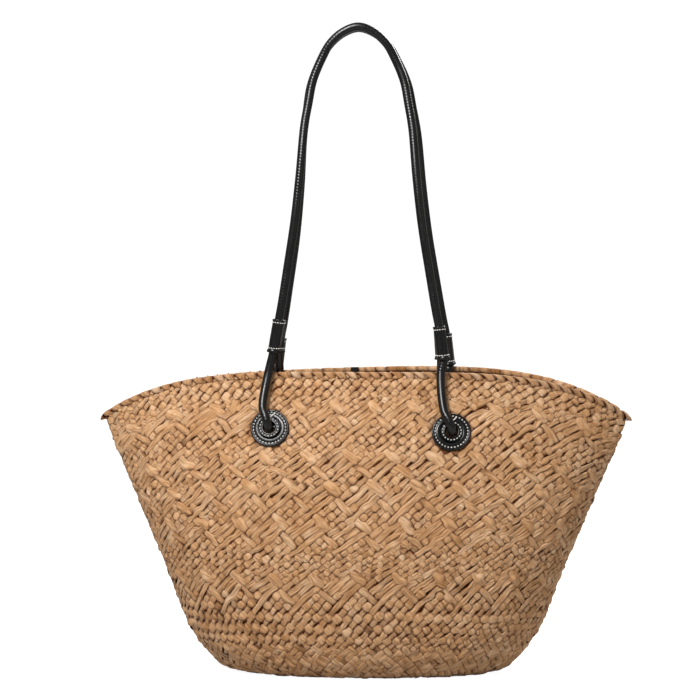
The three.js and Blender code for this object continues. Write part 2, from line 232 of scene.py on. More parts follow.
def spline_rows(table, places):
    """A natural cubic through the rows of a table, read at places in its first column."""
    keys, values = table[:, 0], table[:, 1:]
    last = len(keys) - 1
    end = np.clip(np.searchsorted(keys, places, side="right"), 1, last)
    start = end - 1
    before = np.where(start > 0, start - 1, end)
    after = np.where(end < last, end + 1, start)
    reach = keys[end] - keys[start]
    pull = 0.5 * reach / (keys[start] - keys[before])
    push = 0.5 * reach / (keys[after] - keys[end])
    p = (places - keys[start]) / reach
    weights = (
        -pull * p ** 3 + 2 * pull * p ** 2 - pull * p,
        (1 + pull) * p ** 3 - (1.5 + 2 * pull) * p ** 2 + (pull - 0.5) * p + 1,
        (-1 - push) * p ** 3 + (1.5 + push) * p ** 2 + 0.5 * p,
        push * p ** 3 - push * p ** 2,
    )
    return sum(weight[..., None] * values[row] for weight, row in zip(weights, (before, start, end, after)))


def distance_along(points):
    """Distance run from the first of a row of points to each of them."""
    return np.concatenate([[0], np.cumsum(np.linalg.norm(np.diff(points, axis=0), axis=1))])


def section_at(share):
    """Outer half width, half depth and pinch of the basket at shares of the wall's height."""
    sizes = bpy.context.scene.bag_sizes
    row = spline_rows(BODY_SECTIONS, np.asarray(share, float))
    return row[..., 0] * sizes.mouth_half_width, row[..., 1] * sizes.belly_half_depth, row[..., 2]


def rim_drop(angle):
    """How much lower the rim lies at an angle round the mouth than at mid front."""
    at, spread, depth = RIM_DIP
    away = (np.mod(np.degrees(angle), 360) - at) / spread
    return bpy.context.scene.bag_sizes.tip_drop * (np.cos(angle) ** 4 + depth * np.exp(-(away ** 2)))


def wall_points(angle, share, inset=0.0, lift=0.0):
    """Points of the wall, some way in from its outer face and up from its level."""
    half_width, half_depth, pinch = section_at(share)
    sine = np.sin(angle)
    x = (half_width - inset * np.maximum(1, pinch ** 1.5)) * np.cos(angle)
    y = (half_depth - inset) * np.sign(sine) * np.abs(sine) ** pinch
    z = share * bpy.context.scene.bag_sizes.wall_height - share ** 2 * rim_drop(angle) + lift
    return np.stack(np.broadcast_arrays(x, y, z), axis=-1)


def wall_at(face, x, z):
    """Outer half depth and rim level of the wall at places on its front (-1) or back (1)."""
    tall = bpy.context.scene.bag_sizes.wall_height
    x, z = np.broadcast_arrays(np.asarray(x, float), np.asarray(z, float))
    share = np.minimum(1, z / tall)
    for _ in range(8):
        angle = face * np.arccos(x / section_at(share)[0])
        share = np.minimum(1, (z + share ** 2 * rim_drop(angle)) / tall)
    _, half_depth, pinch = section_at(share)
    return half_depth * np.abs(np.sin(angle)) ** pinch, tall - rim_drop(angle)


def face_point(face, x, z):
    """Points on the wall's outer face."""
    depth, _ = wall_at(face, x, z)
    return np.stack(np.broadcast_arrays(x, face * depth, z), axis=-1).astype(float)


def face_frame(face, x, z):
    """Directions along, up and out of the wall's face at one place."""
    reach = bpy.context.scene.bag_sizes.ring_radius / 2
    along = unit(face_point(face, x - face * reach, z) - face_point(face, x + face * reach, z))
    slope = unit(face_point(face, x, z + reach) - face_point(face, x, z - reach))
    out = unit(np.cross(along, slope))
    return along, np.cross(out, along), out


def draped(face, x, z, along, up, out):
    """Points given along, up and out from a place on the wall, bent with the wall."""
    _, rise, normal = face_frame(face, x, z)
    spots = face_point(face, x - face * np.asarray(along, float), z + np.asarray(up, float) * rise[2])
    return spots + np.asarray(out, float)[..., None] * normal


def eyelet_place(name):
    """Face, sideways place and height of an eyelet's middle."""
    sizes = bpy.context.scene.bag_sizes
    face, side, _, _, eyelet_lift, *_ = ANCHORS[name]
    x = side * sizes.eyelet_reach + EYELET_SHIFT * MM
    return face, x, sizes.wall_height - sizes.eyelet_below_rim + eyelet_lift * MM


def eased(share):
    """Slow at both ends, from 0 to 1."""
    share = np.clip(share, 0, 1)
    return share * share * (3 - 2 * share)


def piece_from(name, mesh, material, node, crisp=None):
    """Puts a finished mesh in the scene as a piece that stands for one of the frame's nodes."""
    mesh.shade_smooth()
    if crisp:
        mesh.set_sharp_from_angle(angle=math.radians(crisp))
    mesh.materials.append(material)
    piece = bpy.data.objects.new(name, mesh)
    bpy.context.scene.collection.objects.link(piece)
    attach(piece, "root")
    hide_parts(node)
    return piece


def skin_mesh(name, rings, across, along, closed=False, **attributes):
    """A mesh of tubes from an array of tubes, rings, points and x y z, with a UV map in metres."""
    tubes, rows, points, _ = rings.shape
    index = np.arange(tubes * rows * points).reshape(tubes, rows, points)
    here = index if closed else index[:, :-1]
    there = np.roll(index, -1, axis=1) if closed else index[:, 1:]
    corners = [here, np.roll(here, -1, axis=2), np.roll(there, -1, axis=2), there]
    quads = np.stack(corners, axis=-1).reshape(-1, 4)
    loops = quads.ravel()
    starts = np.arange(len(quads)) * 4
    if not closed:
        caps = np.concatenate([index[:, 0, ::-1], index[:, -1]])
        starts = np.concatenate([starts, len(loops) + np.arange(len(caps)) * points])
        loops = np.concatenate([loops, caps.ravel()])

    mesh = bpy.data.meshes.new(name)
    mesh.vertices.add(index.size)
    mesh.vertices.foreach_set("co", rings.astype(np.float32).ravel())
    mesh.loops.add(len(loops))
    mesh.loops.foreach_set("vertex_index", loops.astype(np.int32))
    mesh.polygons.add(len(starts))
    mesh.polygons.foreach_set("loop_start", starts.astype(np.int32))
    mesh.update(calc_edges=True)

    bands = here.shape[1]
    low, high = np.asarray(across)[:-1], np.asarray(across)[1:]
    u = np.broadcast_to(np.stack([low, high, high, low], axis=-1), (tubes, bands, points, 4))
    ends = np.concatenate([along, along[:, -1:] + np.diff(along[:, -2:], axis=1)], axis=1)
    near, far = ends[:, :bands], ends[:, 1:bands + 1]
    v = np.stack([near, near, far, far], axis=-1)[:, :, None, :]
    v = np.broadcast_to(v, (tubes, bands, points, 4))
    coords = np.zeros((len(loops), 2), np.float32)
    coords[:len(quads) * 4] = np.stack([u, v], axis=-1).reshape(-1, 2)
    mesh.uv_layers.new(name="UVMap").data.foreach_set("uv", coords.ravel())
    for key, values in attributes.items():
        layer = mesh.attributes.new(name=key, type="FLOAT", domain="POINT")
        spread = np.broadcast_to(values, (tubes, rows, points))
        layer.data.foreach_set("value", spread.astype(np.float32).ravel())
    mesh.validate()
    return mesh


def add_node(tree, kind, values=None, links=None, **settings):
    """Adds a node with its settings, its sockets' values, and the outputs that its sockets read."""
    node = tree.nodes.new(kind)
    for key, value in settings.items():
        setattr(node, key, value)
    for socket, value in (values or {}).items():
        node.inputs[socket].default_value = value
    for socket, (source, output) in (links or {}).items():
        tree.links.new(source.outputs[output], node.inputs[socket])
    return node


def new_material(name):
    """An empty node material and its output node."""
    material = bpy.data.materials.new(name)
    material.use_nodes = True
    material.node_tree.nodes.clear()
    return material, material.node_tree, material.node_tree.nodes.new("ShaderNodeOutputMaterial")


def raffia_material(name, painted_brightness=1.0):
    """Twisted raffia: matte, with fine lengthwise fibres, creases, paler and browner strands, and painted
    shade.
    """
    if name in bpy.data.materials:
        return bpy.data.materials[name]
    colours = bpy.context.scene.bag_colours
    material, tree, output = new_material(name)
    place = add_node(tree, "ShaderNodeUVMap", uv_map="UVMap")
    # Fibres are 0.35 mm across and about 12 mm long
    fibre_place = add_node(tree, "ShaderNodeMapping", {"Scale": (1 / (0.35 * MM), 1 / (12 * MM), 1)},
                           {"Vector": (place, "UV")})
    fibres = add_node(tree, "ShaderNodeTexNoise", {"Scale": 1.0, "Detail": 2.0, "Roughness": 0.6},
                      {"Vector": (fibre_place, 0)})
    # A strand is folded lengthwise, which leaves creases about 1.9 mm apart
    crease_place = add_node(tree, "ShaderNodeMapping", {"Scale": (1 / (1.9 * MM), 1 / (14 * MM), 1)},
                            {"Vector": (place, "UV")})
    crumple = add_node(tree, "ShaderNodeTexNoise",
                       {"Scale": 1.0, "Detail": 2.0, "Roughness": 0.5, "Distortion": 0.5},
                       {"Vector": (crease_place, 0)})
    creases = add_node(tree, "ShaderNodeMapRange", {"From Min": 0.34, "From Max": 0.58},
                       {"Value": (crumple, "Fac")})
    # Patches of colour about 14 mm across, over the whole bag
    where = add_node(tree, "ShaderNodeTexCoord")
    patches = add_node(tree, "ShaderNodeTexNoise", {"Scale": 1 / (14 * MM), "Detail": 2.0, "Roughness": 0.55},
                       {"Vector": (where, "Object")})
    tone = add_node(tree, "ShaderNodeAttribute", attribute_name="tone")
    depth = add_node(tree, "ShaderNodeAttribute", attribute_name="depth")
    fibre_share = add_node(tree, "ShaderNodeMath", {1: 0.55, 2: -0.27}, {0: (fibres, "Fac")},
                           operation="MULTIPLY_ADD")
    patch_share = add_node(tree, "ShaderNodeMath", {1: 0.7, 2: -0.35}, {0: (patches, "Fac")},
                           operation="MULTIPLY_ADD")
    # Painted shade: the creases' low lines are painted darker than their ridges
    crease_painted_shade = add_node(tree, "ShaderNodeMath", {1: 0.3, 2: -0.19}, {0: (creases, 0)},
                            operation="MULTIPLY_ADD")
    lines = add_node(tree, "ShaderNodeMath", {}, {0: (fibre_share, 0), 1: (crease_painted_shade, 0)}, operation="ADD")
    both = add_node(tree, "ShaderNodeMath", {}, {0: (lines, 0), 1: (patch_share, 0)}, operation="ADD")
    mixed = add_node(tree, "ShaderNodeMath", {}, {0: (both, 0), 1: (tone, "Fac")},
                     operation="ADD", use_clamp=True)
    ramp = add_node(tree, "ShaderNodeValToRGB", {}, {"Fac": (mixed, 0)})
    ramp.color_ramp.elements[0].color = colours.straw_dark
    ramp.color_ramp.elements[1].color = colours.straw_light
    ramp.color_ramp.elements.new(0.5).color = colours.straw_mid
    # Painted shade: where the depth attribute is low, the colour is mixed toward the straw shadow colour
    shaded = add_node(tree, "ShaderNodeMix", {6: colours.straw_painted_shadow}, {0: (depth, "Fac"), 7: (ramp, "Color")},
                      data_type="RGBA")
    # Painted light: the whole colour is multiplied by a brightness given for each copy of the material
    painted_brightened = add_node(tree, "ShaderNodeMix", {0: 1.0, 7: (painted_brightness, painted_brightness, painted_brightness, 1)}, {6: (shaded, 2)},
                      data_type="RGBA", blend_type="MULTIPLY")
    crease_bump = add_node(tree, "ShaderNodeBump", {"Strength": 1.0, "Distance": 0.7 * MM},
                           {"Height": (creases, 0)})
    bump = add_node(tree, "ShaderNodeBump", {"Strength": 0.8, "Distance": 0.25 * MM},
                    {"Height": (fibres, "Fac"), "Normal": (crease_bump, 0)})
    shader = add_node(tree, "ShaderNodeBsdfPrincipled",
                      {"Roughness": 0.72, "IOR": 1.46, "Specular IOR Level": 0.28, "Sheen Weight": 0.08,
                       "Sheen Roughness": 0.5},
                      {"Base Color": (painted_brightened, 2), "Normal": (bump, 0)})
    tree.links.new(shader.outputs[0], output.inputs["Surface"])
    return material


def painted_shadow_straw_material():
    """Straw seen between the strands, painted in shadow colour: dark and dull."""
    name = "Shaded straw core"
    if name in bpy.data.materials:
        return bpy.data.materials[name]
    colours = bpy.context.scene.bag_colours
    material, tree, output = new_material(name)
    where = add_node(tree, "ShaderNodeTexCoord")
    noise = add_node(tree, "ShaderNodeTexNoise", {"Scale": 1 / (3 * MM), "Detail": 2.0},
                     {"Vector": (where, "Object")})
    # Painted shadow: 0.6 to 1 times the straw shadow colour, mottled
    ramp = add_node(tree, "ShaderNodeValToRGB", {}, {"Fac": (noise, "Fac")})
    ramp.color_ramp.elements[0].color = [0.6 * c for c in colours.straw_painted_shadow[:3]] + [1]
    ramp.color_ramp.elements[1].color = colours.straw_painted_shadow
    bump = add_node(tree, "ShaderNodeBump", {"Strength": 0.5, "Distance": 0.3 * MM},
                    {"Height": (noise, "Fac")})
    shader = add_node(tree, "ShaderNodeBsdfPrincipled", {"Roughness": 0.9, "Specular IOR Level": 0.15},
                      {"Base Color": (ramp, "Color"), "Normal": (bump, 0)})
    tree.links.new(shader.outputs[0], output.inputs["Surface"])
    return material


def leather_material(name, grain, roughness, rib=0.0):
    """Dyed and waxed cowhide: near black, satin, with fine pores, soft creases and lighter worn spots."""
    if name in bpy.data.materials:
        return bpy.data.materials[name]
    colours = bpy.context.scene.bag_colours
    material, tree, output = new_material(name)
    where = add_node(tree, "ShaderNodeTexCoord")
    # Pores are 0.5 mm apart, drawn as coarse as grain says so that they show
    pores = add_node(tree, "ShaderNodeTexVoronoi", {"Scale": 1 / grain}, {"Vector": (where, "Object")})
    folds = add_node(tree, "ShaderNodeTexNoise", {"Scale": 1 / (9 * MM), "Detail": 3.0, "Roughness": 0.6},
                     {"Vector": (where, "Object")})
    gloss = add_node(tree, "ShaderNodeMapRange",
                     {"From Min": 0.3, "From Max": 0.7, "To Min": roughness - 0.06,
                      "To Max": roughness + 0.08},
                     {"Value": (folds, "Fac")})
    wear = add_node(tree, "ShaderNodeMapRange",
                    {"From Min": 0.5, "From Max": 0.8, "To Min": 0.0, "To Max": 0.3},
                    {"Value": (folds, "Fac")})
    # The dye is worn to 2.6 times as light where the folds stand highest
    worn = [min(1, 2.6 * c) for c in colours.leather[:3]] + [1]
    tint = add_node(tree, "ShaderNodeMix", {6: colours.leather, 7: worn}, {0: (wear, 0)}, data_type="RGBA")
    fold_bump = add_node(tree, "ShaderNodeBump", {"Strength": 0.35, "Distance": 0.4 * MM},
                         {"Height": (folds, "Fac")})
    bump = add_node(tree, "ShaderNodeBump", {"Strength": 0.35, "Distance": 0.1 * MM},
                    {"Height": (pores, "Distance"), "Normal": (fold_bump, 0)})
    if rib:
        # The skin is rolled tight over a laid cord, which shows as fine slanted ribs in places
        place = add_node(tree, "ShaderNodeUVMap", uv_map="UVMap")
        turned = add_node(tree, "ShaderNodeMapping", {"Scale": (1 / (9 * MM), 1 / rib, 1)},
                          {"Vector": (place, "UV")})
        ribs = add_node(tree, "ShaderNodeTexWave", {"Scale": 0.5, "Distortion": 0.6, "Detail": 1.0},
                        {"Vector": (turned, 0)}, wave_type="BANDS", bands_direction="DIAGONAL")
        reach = add_node(tree, "ShaderNodeTexNoise", {"Scale": 1 / (60 * MM), "Detail": 1.0},
                         {"Vector": (where, "Object")})
        fade = add_node(tree, "ShaderNodeMapRange", {"From Min": 0.42, "From Max": 0.6},
                        {"Value": (reach, "Fac")})
        faded = add_node(tree, "ShaderNodeMath", {}, {0: (ribs, "Fac"), 1: (fade, 0)}, operation="MULTIPLY")
        bump = add_node(tree, "ShaderNodeBump", {"Strength": 0.5, "Distance": 0.3 * MM},
                        {"Height": (faded, 0), "Normal": (bump, 0)})
    shader = add_node(tree, "ShaderNodeBsdfPrincipled",
                      {"IOR": 1.5, "Specular IOR Level": 0.36, "Coat Weight": 0.1, "Coat Roughness": 0.28},
                      {"Base Color": (tint, 2), "Roughness": (gloss, 0), "Normal": (bump, 0)})
    tree.links.new(shader.outputs[0], output.inputs["Surface"])
    return material


def thread_material():
    """Waxed linen thread: off-white, slightly glossy, with the twist of its plies and painted shade in the
    grooves between them.
    """
    name = "Waxed linen thread"
    if name in bpy.data.materials:
        return bpy.data.materials[name]
    colours = bpy.context.scene.bag_colours
    material, tree, output = new_material(name)
    where = add_node(tree, "ShaderNodeTexCoord")
    twist = add_node(tree, "ShaderNodeTexWave", {"Scale": 1 / (1.2 * MM), "Distortion": 1.0},
                     {"Vector": (where, "Object")}, bands_direction="DIAGONAL")
    # Painted shade: the grooves between the plies are painted darker
    ramp = add_node(tree, "ShaderNodeValToRGB", {}, {"Fac": (twist, "Fac")})
    ramp.color_ramp.elements[0].color = [0.72 * c for c in colours.thread[:3]] + [1]
    ramp.color_ramp.elements[1].color = colours.thread
    bump = add_node(tree, "ShaderNodeBump", {"Strength": 0.5, "Distance": 0.1 * MM},
                    {"Height": (twist, "Fac")})
    shader = add_node(tree, "ShaderNodeBsdfPrincipled", {"Roughness": 0.5, "Specular IOR Level": 0.4},
                      {"Base Color": (ramp, "Color"), "Normal": (bump, 0)})
    tree.links.new(shader.outputs[0], output.inputs["Surface"])
    return material


def around_table():
    """Angle round the wall at even shares of the way round, for heights from the base to the rim."""
    angles = np.linspace(0, 2 * math.pi, 2881)
    shares = np.linspace(0, 1, 121)
    even = np.linspace(0, 1, 2001)
    rows = []
    for share in shares:
        points = wall_points(angles, share)[:, :2]
        reach = distance_along(points)
        rows.append(np.interp(even, reach / reach[-1], angles))
    return np.array(rows)


def wall_angle(table, column, columns, share):
    """Angle at a column of the plait, with the columns spaced wider at the middles or at the tips."""
    lean = np.interp(share, COLUMN_LEAN[:, 0], COLUMN_LEAN[:, 1])
    part = (column + np.interp(share, COLUMN_LEAN[:, 0], COLUMN_LEAN[:, 2])) / columns
    part = np.mod(part + lean * np.sin(4 * math.pi * part) / (4 * math.pi), 1)
    row = np.clip(share, 0, 1) * (len(table) - 1)
    col = part * (table.shape[1] - 1)
    row_low = np.minimum(row.astype(int), len(table) - 2)
    col_low = np.minimum(col.astype(int), table.shape[1] - 2)
    row_part, col_part = row - row_low, col - col_low
    near = table[row_low, col_low] * (1 - col_part) + table[row_low, col_low + 1] * col_part
    far = table[row_low + 1, col_low] * (1 - col_part) + table[row_low + 1, col_low + 1] * col_part
    return near * (1 - row_part) + far * row_part


def middle_surface(angle, share, extra_lift=0.0):
    """Points and outward normals of the surface half way through the wall."""
    sizes = bpy.context.scene.bag_sizes
    inset = sizes.straw_thickness / 2

    def spot(at_angle, at_share):
        lift = 1.2 * inset * np.maximum(0, 1 - at_share / FLOOR_BLEND)
        return wall_points(at_angle, at_share, inset, lift)

    points = spot(angle, share)
    along = spot(angle + 0.012, share) - spot(angle - 0.012, share)
    slope = spot(angle, np.minimum(1, share + 0.01)) - spot(angle, np.maximum(0, share - 0.01))
    normals = unit(np.cross(along, slope))
    points[..., 2] += extra_lift
    return points, normals


def motif_place(column, row):
    """Columns and rows from the nearest wide float of each motif."""
    for top, shift in MOTIFS:
        across = np.mod(column - FRONT_COLUMN - shift + MOTIF_PITCH / 2, MOTIF_PITCH) - MOTIF_PITCH / 2
        yield across, row - top


def is_at(across, down, place):
    """True where a crossing is at one of a motif's places."""
    return (np.abs(across - place[0]) < 0.1) & (np.abs(down - place[1]) < 0.1)


def crossing_plan(column, row, falling):
    """At each crossing: whether the strand is on top, and its width, shoulder and crown in millimetres."""
    on_top = np.abs(column - np.round(column)) < 0.1
    in_motif = np.zeros(column.shape, bool)
    floats = []
    for across, down in motif_place(column, row):
        for place in RISING_ON_TOP:
            on_top &= ~is_at(across, down, place)
        for *place, width, crown in FALLING_FLOATS:
            here = is_at(across, down, place)
            on_top |= here
            floats.append((here, (width, crown, crown)))
        in_motif |= (down > -1) & (down < 3)

    # Near the base the strands run in pairs, two over two
    paired = row >= PAIRED_ROW
    pairs = np.floor((column - row + 0.25) / 2) + np.floor((column + row + 0.25) / 2)
    on_top = np.where(paired, np.mod(pairs, 2) < 1, on_top)
    over = on_top if falling else ~on_top
    way = "falling" if falling else "rising"
    cases = floats if falling else [(over & in_motif, RISING_FLOAT)]
    shape = np.where(over[..., None], OVER[way], UNDER[way])
    for here, values in cases:
        shape = np.where(here[..., None], values, shape)
    shape = np.where(paired[..., None], PAIRED, shape)
    return over, *np.moveaxis(shape, -1, 0)


def between_crossings(values, samples, steepness=1.0):
    """Values at crossings, blended to every sample of each strand."""
    steps = np.arange((values.shape[1] - 1) * samples + 1) / samples
    low = np.minimum(steps.astype(int), values.shape[1] - 2)
    part = np.clip(0.5 + steepness * (eased(steps - low) - 0.5), 0, 1)
    return values[:, low] * (1 - part) + values[:, low + 1] * part


def part_round_eyelets(points, normals, heading):
    """Moves the strands aside round each eyelet, and says how far each is pressed flat under its ring."""
    sizes = bpy.context.scene.bag_sizes
    # A strand that comes within hole_reach of the hole goes wholly round one side of it, part_room
    # away, and eases back to its own line over part_length
    hole_reach, part_room, part_length = 14 * MM, 12.5 * MM, 11 * MM
    side = unit(np.cross(normals, heading))
    press = np.zeros(points.shape[:2])
    slim = np.ones(points.shape[:2])
    for name in ANCHORS:
        face, x, z = eyelet_place(name)
        _, _, out = face_frame(face, x, z)
        bore = face_point(face, x, z) - sizes.straw_thickness / 2 * out
        apart = points - bore
        off = np.sum(apart * side, axis=2)
        on = np.sum(apart * heading, axis=2)
        reach = np.linalg.norm(apart, axis=2)
        near = reach < hole_reach
        crosses = near.any(axis=1, keepdims=True)
        way = np.where(crosses, np.sign(np.sum(off * near, axis=1, keepdims=True) + 1e-9), np.sign(off))
        room = part_room * np.exp(-(on / part_length) ** 2)
        parted = way * (np.abs(off) ** 4 + room ** 4) ** 0.25
        parted = np.where(np.sign(off) == way, parted, way * room)
        # Strands further off stay on their own lines
        close = (reach < 45 * MM) & (np.abs(off) < np.where(crosses, 30 * MM, 22 * MM))
        points = points + side * np.where(close, parted - off, 0)[..., None]
        reach = np.linalg.norm(points - bore, axis=2)
        press = np.maximum(press, eased((sizes.ring_radius + 5 * MM - reach) / (5.5 * MM)))
        slim = slim * (1 - 0.3 * eased((hole_reach - reach) / (4 * MM)))
    return points, press, slim


def strand_family(falling, table, rng):
    """All strands of one direction: rings of points, lengths, tones and levels of painted shade."""
    plait = bpy.context.scene.bag_plait
    columns, uneven = plait.columns, plait.unevenness
    turn = 1 if falling else -1
    first = np.arange(columns)[:, None]
    at_row = np.broadcast_to(np.arange(2 * LAST_ROW + 1) / 2, (columns, 2 * LAST_ROW + 1))
    over, width, shoulder, crown = crossing_plan(first + turn * at_row, at_row, falling)

    shape = over.shape

    def varied(what):
        return VARIES[what] * uneven * rng.normal(size=shape)

    width = width * (1 + varied("width")) * MM
    rise = np.where(over, 1.0, -1.0) * plait.strand_rise + varied("rise") * MM
    shoulder = (shoulder + varied("shoulder")) * MM
    crown = (crown + varied("crown")) * MM
    aside = varied("aside") * MM
    twist = np.radians(varied("twist"))
    tone = 0.5 + VARIES["strand tone"] * rng.normal(size=(columns, 1))
    tone = tone + VARIES["tone"] * rng.normal(size=shape)

    width, shoulder, crown, aside, twist, tone = (
        between_crossings(values, STRAND_SAMPLES) for values in (width, shoulder, crown, aside, twist, tone))
    # A pressed strand lies flat on top of a crossing and dives steeply at both sides of it
    rise = between_crossings(rise, STRAND_SAMPLES, STEEPNESS)
    row = np.arange(width.shape[1])[None, :] / (2 * STRAND_SAMPLES)
    column = first + turn * row
    # The rows wander up and down, except at the rim and at the base
    fade = np.sin(math.pi * row / LAST_ROW) ** 0.5
    sway = 2 * math.pi * column / columns
    wave = 0.16 * np.sin(3 * sway + row / 3.1) + 0.12 * np.sin(7 * sway - row / 2.3 + 1)
    wave = wave + 0.08 * np.sin(13 * sway + row)
    share = spline_rows(ROW_SHARES, np.clip(row + uneven * fade * wave, 0, LAST_ROW))[..., 0]
    angle = wall_angle(table, column, columns, share)
    lift = 1.5 * MM * np.maximum(0, 1 - 2 * row)
    points, normals = middle_surface(angle, share, lift)

    step = np.linalg.norm(np.diff(points, axis=1), axis=2)
    step = np.concatenate([step[:, :1], step], axis=1)
    # Strands are narrower where their crossings are closer than the usual 2.15 mm from sample to sample
    crowd = np.clip(step / (2.15 * MM), 0.55, 1.35)
    heading = unit(np.gradient(points, axis=1))
    points = points + unit(np.cross(normals, heading)) * aside[..., None]
    points, press, slim = part_round_eyelets(points, normals, heading)
    width = width * (0.35 + 0.65 * crowd) * slim

    rise = rise * (1 - 0.45 * press)
    half = plait.strand_half_thickness
    top = (half + shoulder) * (1 - press) + 0.6 * half * press
    crown = crown * (1 - press)
    points = points + normals * (rise - 0.15 * MM * press)[..., None]
    heading = unit(np.gradient(points, axis=1))
    side = unit(np.cross(normals, heading))
    normals = np.cross(heading, side)
    cos, sin = np.cos(twist)[..., None], np.sin(twist)[..., None]
    side, up = side * cos + normals * sin, normals * cos - side * sin

    rings, painted_shade_levels = [], []
    for across, height, crowned in STRAND_OUTLINE:
        tall = np.where(height > 0, top, half) * height + crowned * crown
        rings.append(points + side * (across * width / 2)[..., None] + up * tall[..., None])
        # Painted shade: a strand's colour goes to the straw shadow colour where it lies low, sooner on
        # falling strands than on rising ones, which run on from bead to bead
        painted_shade_levels.append(np.clip((np.abs(rise + tall) - (0.85 if falling else 0.6) * MM) / (0.85 * MM), 0, 1))
    # Seen from its end the outline has to turn anticlockwise
    rings = np.stack(rings, axis=2)[:, :, ::-1]
    # Straw that the bag stands on is pressed flat against the ground
    rings[..., 2] = np.maximum(rings[..., 2], 0)
    painted_shade_levels = np.stack(painted_shade_levels, axis=2)[:, :, ::-1]
    along = np.concatenate([np.zeros((columns, 1)), np.cumsum(step[:, 1:], axis=1)], axis=1)
    return rings, along + first * FIBRE_SHIFT, tone[..., None], painted_shade_levels


def base_mat(rng):
    """Straight strands of the plaited base, in both directions, clipped to its oval."""
    margin, level, pitch, half_thickness, strand_rise = 1.5 * MM, 1.85 * MM, 8.6 * MM, 0.8 * MM, 0.65 * MM
    samples = 90
    half_width, half_depth, pinch = (float(value) for value in section_at(0.0))
    half_width -= margin
    half_depth -= margin
    rings, tones, painted_shade_levels, along = [], [], [], []
    count = int((half_width + half_depth) * math.sqrt(2) / pitch) // 2
    far = np.linspace(-0.2, 0.2, 1601)
    for way in (1, -1):
        heading = np.array([1, way, 0]) / math.sqrt(2)
        up = np.array([0, 0, 1.0])
        side = np.cross(up, heading)
        for strand in range(-count, count + 1):
            line = heading * far[:, None] + side * (strand * pitch)
            inside = (line[:, 0] / half_width) ** 2 + (np.abs(line[:, 1]) / half_depth) ** (2 / pinch) < 1
            if inside.sum() < 20:
                continue
            reach = np.linspace(far[inside][0], far[inside][-1], samples)
            phase = math.pi * (reach / pitch + strand)
            rise = way * np.cos(phase) * strand_rise
            width = (7.6 + 0.9 * way * np.cos(phase) + 0.4 * rng.normal()) * MM
            centre = heading * reach[:, None] + side * (strand * pitch + 0.3 * MM * rng.normal())
            centre[:, 2] = level + rise
            ring, painted_shade_parts = [], []
            for across, height, _ in STRAND_OUTLINE:
                tall = height * half_thickness
                ring.append(centre + side * (across * width / 2)[:, None] + up * tall)
                # Painted shade: the colour goes to the straw shadow colour where a strand lies near the mat's
                # middle level, between the strands
                painted_shade_parts.append(np.clip((np.abs(rise + tall) - 0.35 * MM) / (1.1 * MM), 0, 1))
            rings.append(np.stack(ring, axis=1)[:, ::-1])
            painted_shade_levels.append(np.stack(painted_shade_parts, axis=1)[:, ::-1])
            tones.append(np.full((samples, 1), 0.45 + 0.16 * rng.normal()))
            along.append(reach + strand * FIBRE_SHIFT)
    return np.array(rings), np.array(along), np.array(tones), np.array(painted_shade_levels)


def shadow_sheet_mesh(table):
    """A thin closed sheet inside the plait, laid as painted shade so that no light shows between the strands.
    """
    turns, levels = 176, 56
    shares = np.linspace(0, 1, levels) ** 1.3
    columns = bpy.context.scene.bag_plait.columns
    place = np.arange(turns) * columns / turns
    angles = np.array([wall_angle(table, place, columns, np.full(turns, share)) for share in shares])
    points, _ = middle_surface(angles, np.broadcast_to(shares[:, None], angles.shape))
    mesh = bpy.data.meshes.new("straw_shadow_sheet")
    editable = bmesh.new()
    rows = [[editable.verts.new(point) for point in level] for level in points]
    middle = editable.verts.new((0, 0, float(points[0, :, 2].mean())))
    for step in range(turns):
        after = (step + 1) % turns
        editable.faces.new((middle, rows[0][after], rows[0][step]))
        for lower, upper in zip(rows, rows[1:]):
            editable.faces.new((lower[step], lower[after], upper[after], upper[step]))
    # The sheet is open where the eyelets' bores pass through it
    bore_reach = 10.5 * MM
    gone = []
    for name in ANCHORS:
        face, x, z = eyelet_place(name)
        bore = Vector(face_point(face, x, z))
        gone += [f for f in editable.faces if (f.calc_center_median() - bore).length < bore_reach]
    bmesh.ops.delete(editable, geom=gone, context="FACES")
    editable.to_mesh(mesh)
    editable.free()
    return mesh


def apply_modifier(piece, kind, name, **settings):
    """Adds a modifier to a piece and applies it."""
    modifier = piece.modifiers.new(name, kind)
    for key, value in settings.items():
        setattr(modifier, key, value)
    bpy.ops.object.select_all(action="DESELECT")
    bpy.context.view_layer.objects.active = piece
    piece.select_set(True)
    bpy.ops.object.modifier_apply(modifier=name)


class PlaitWall(bpy.types.Operator):
    """Plait the wall and the base from two directions of straw strands"""

    bl_idname = "straw_bag.plait_wall"
    bl_label = "Plait Wall"

    def execute(self, context):
        rng = np.random.default_rng(context.scene.bag_plait.seed)
        table = around_table()
        raffia = raffia_material("Plaited raffia straw")
        # A dark sheet inside the plait, painted in the straw's shadow colour, is the shade seen between the
        # strands
        core = piece_from("wall_shadow_sheet", shadow_sheet_mesh(table), painted_shadow_straw_material(), "basket")
        apply_modifier(core, "SOLIDIFY", "Thickness", thickness=0.5 * MM, offset=0.0)
        half = context.scene.bag_plait.columns // 2
        for label, falling in (("falling", True), ("rising", False)):
            # depth holds each point's painted shade, 0 where it is painted in the straw shadow colour
            rings, along, tone, depth = strand_family(falling, table, rng)
            for part, chosen in (("right", slice(0, half)), ("left", slice(half, None))):
                name = f"wall_strands_{label}_{part}"
                mesh = skin_mesh(name, rings[chosen], STRAND_ACROSS, along[chosen],
                                 tone=tone[chosen], depth=depth[chosen])
                piece_from(name, mesh, raffia, "basket", crisp=28)
        # The base's depth attribute holds its painted shade too
        rings, along, tone, depth = base_mat(rng)
        mesh = skin_mesh("base_strands", rings, STRAND_ACROSS, along, tone=tone, depth=depth)
        piece_from("base_strands", mesh, raffia, "basket")
        return {"FINISHED"}


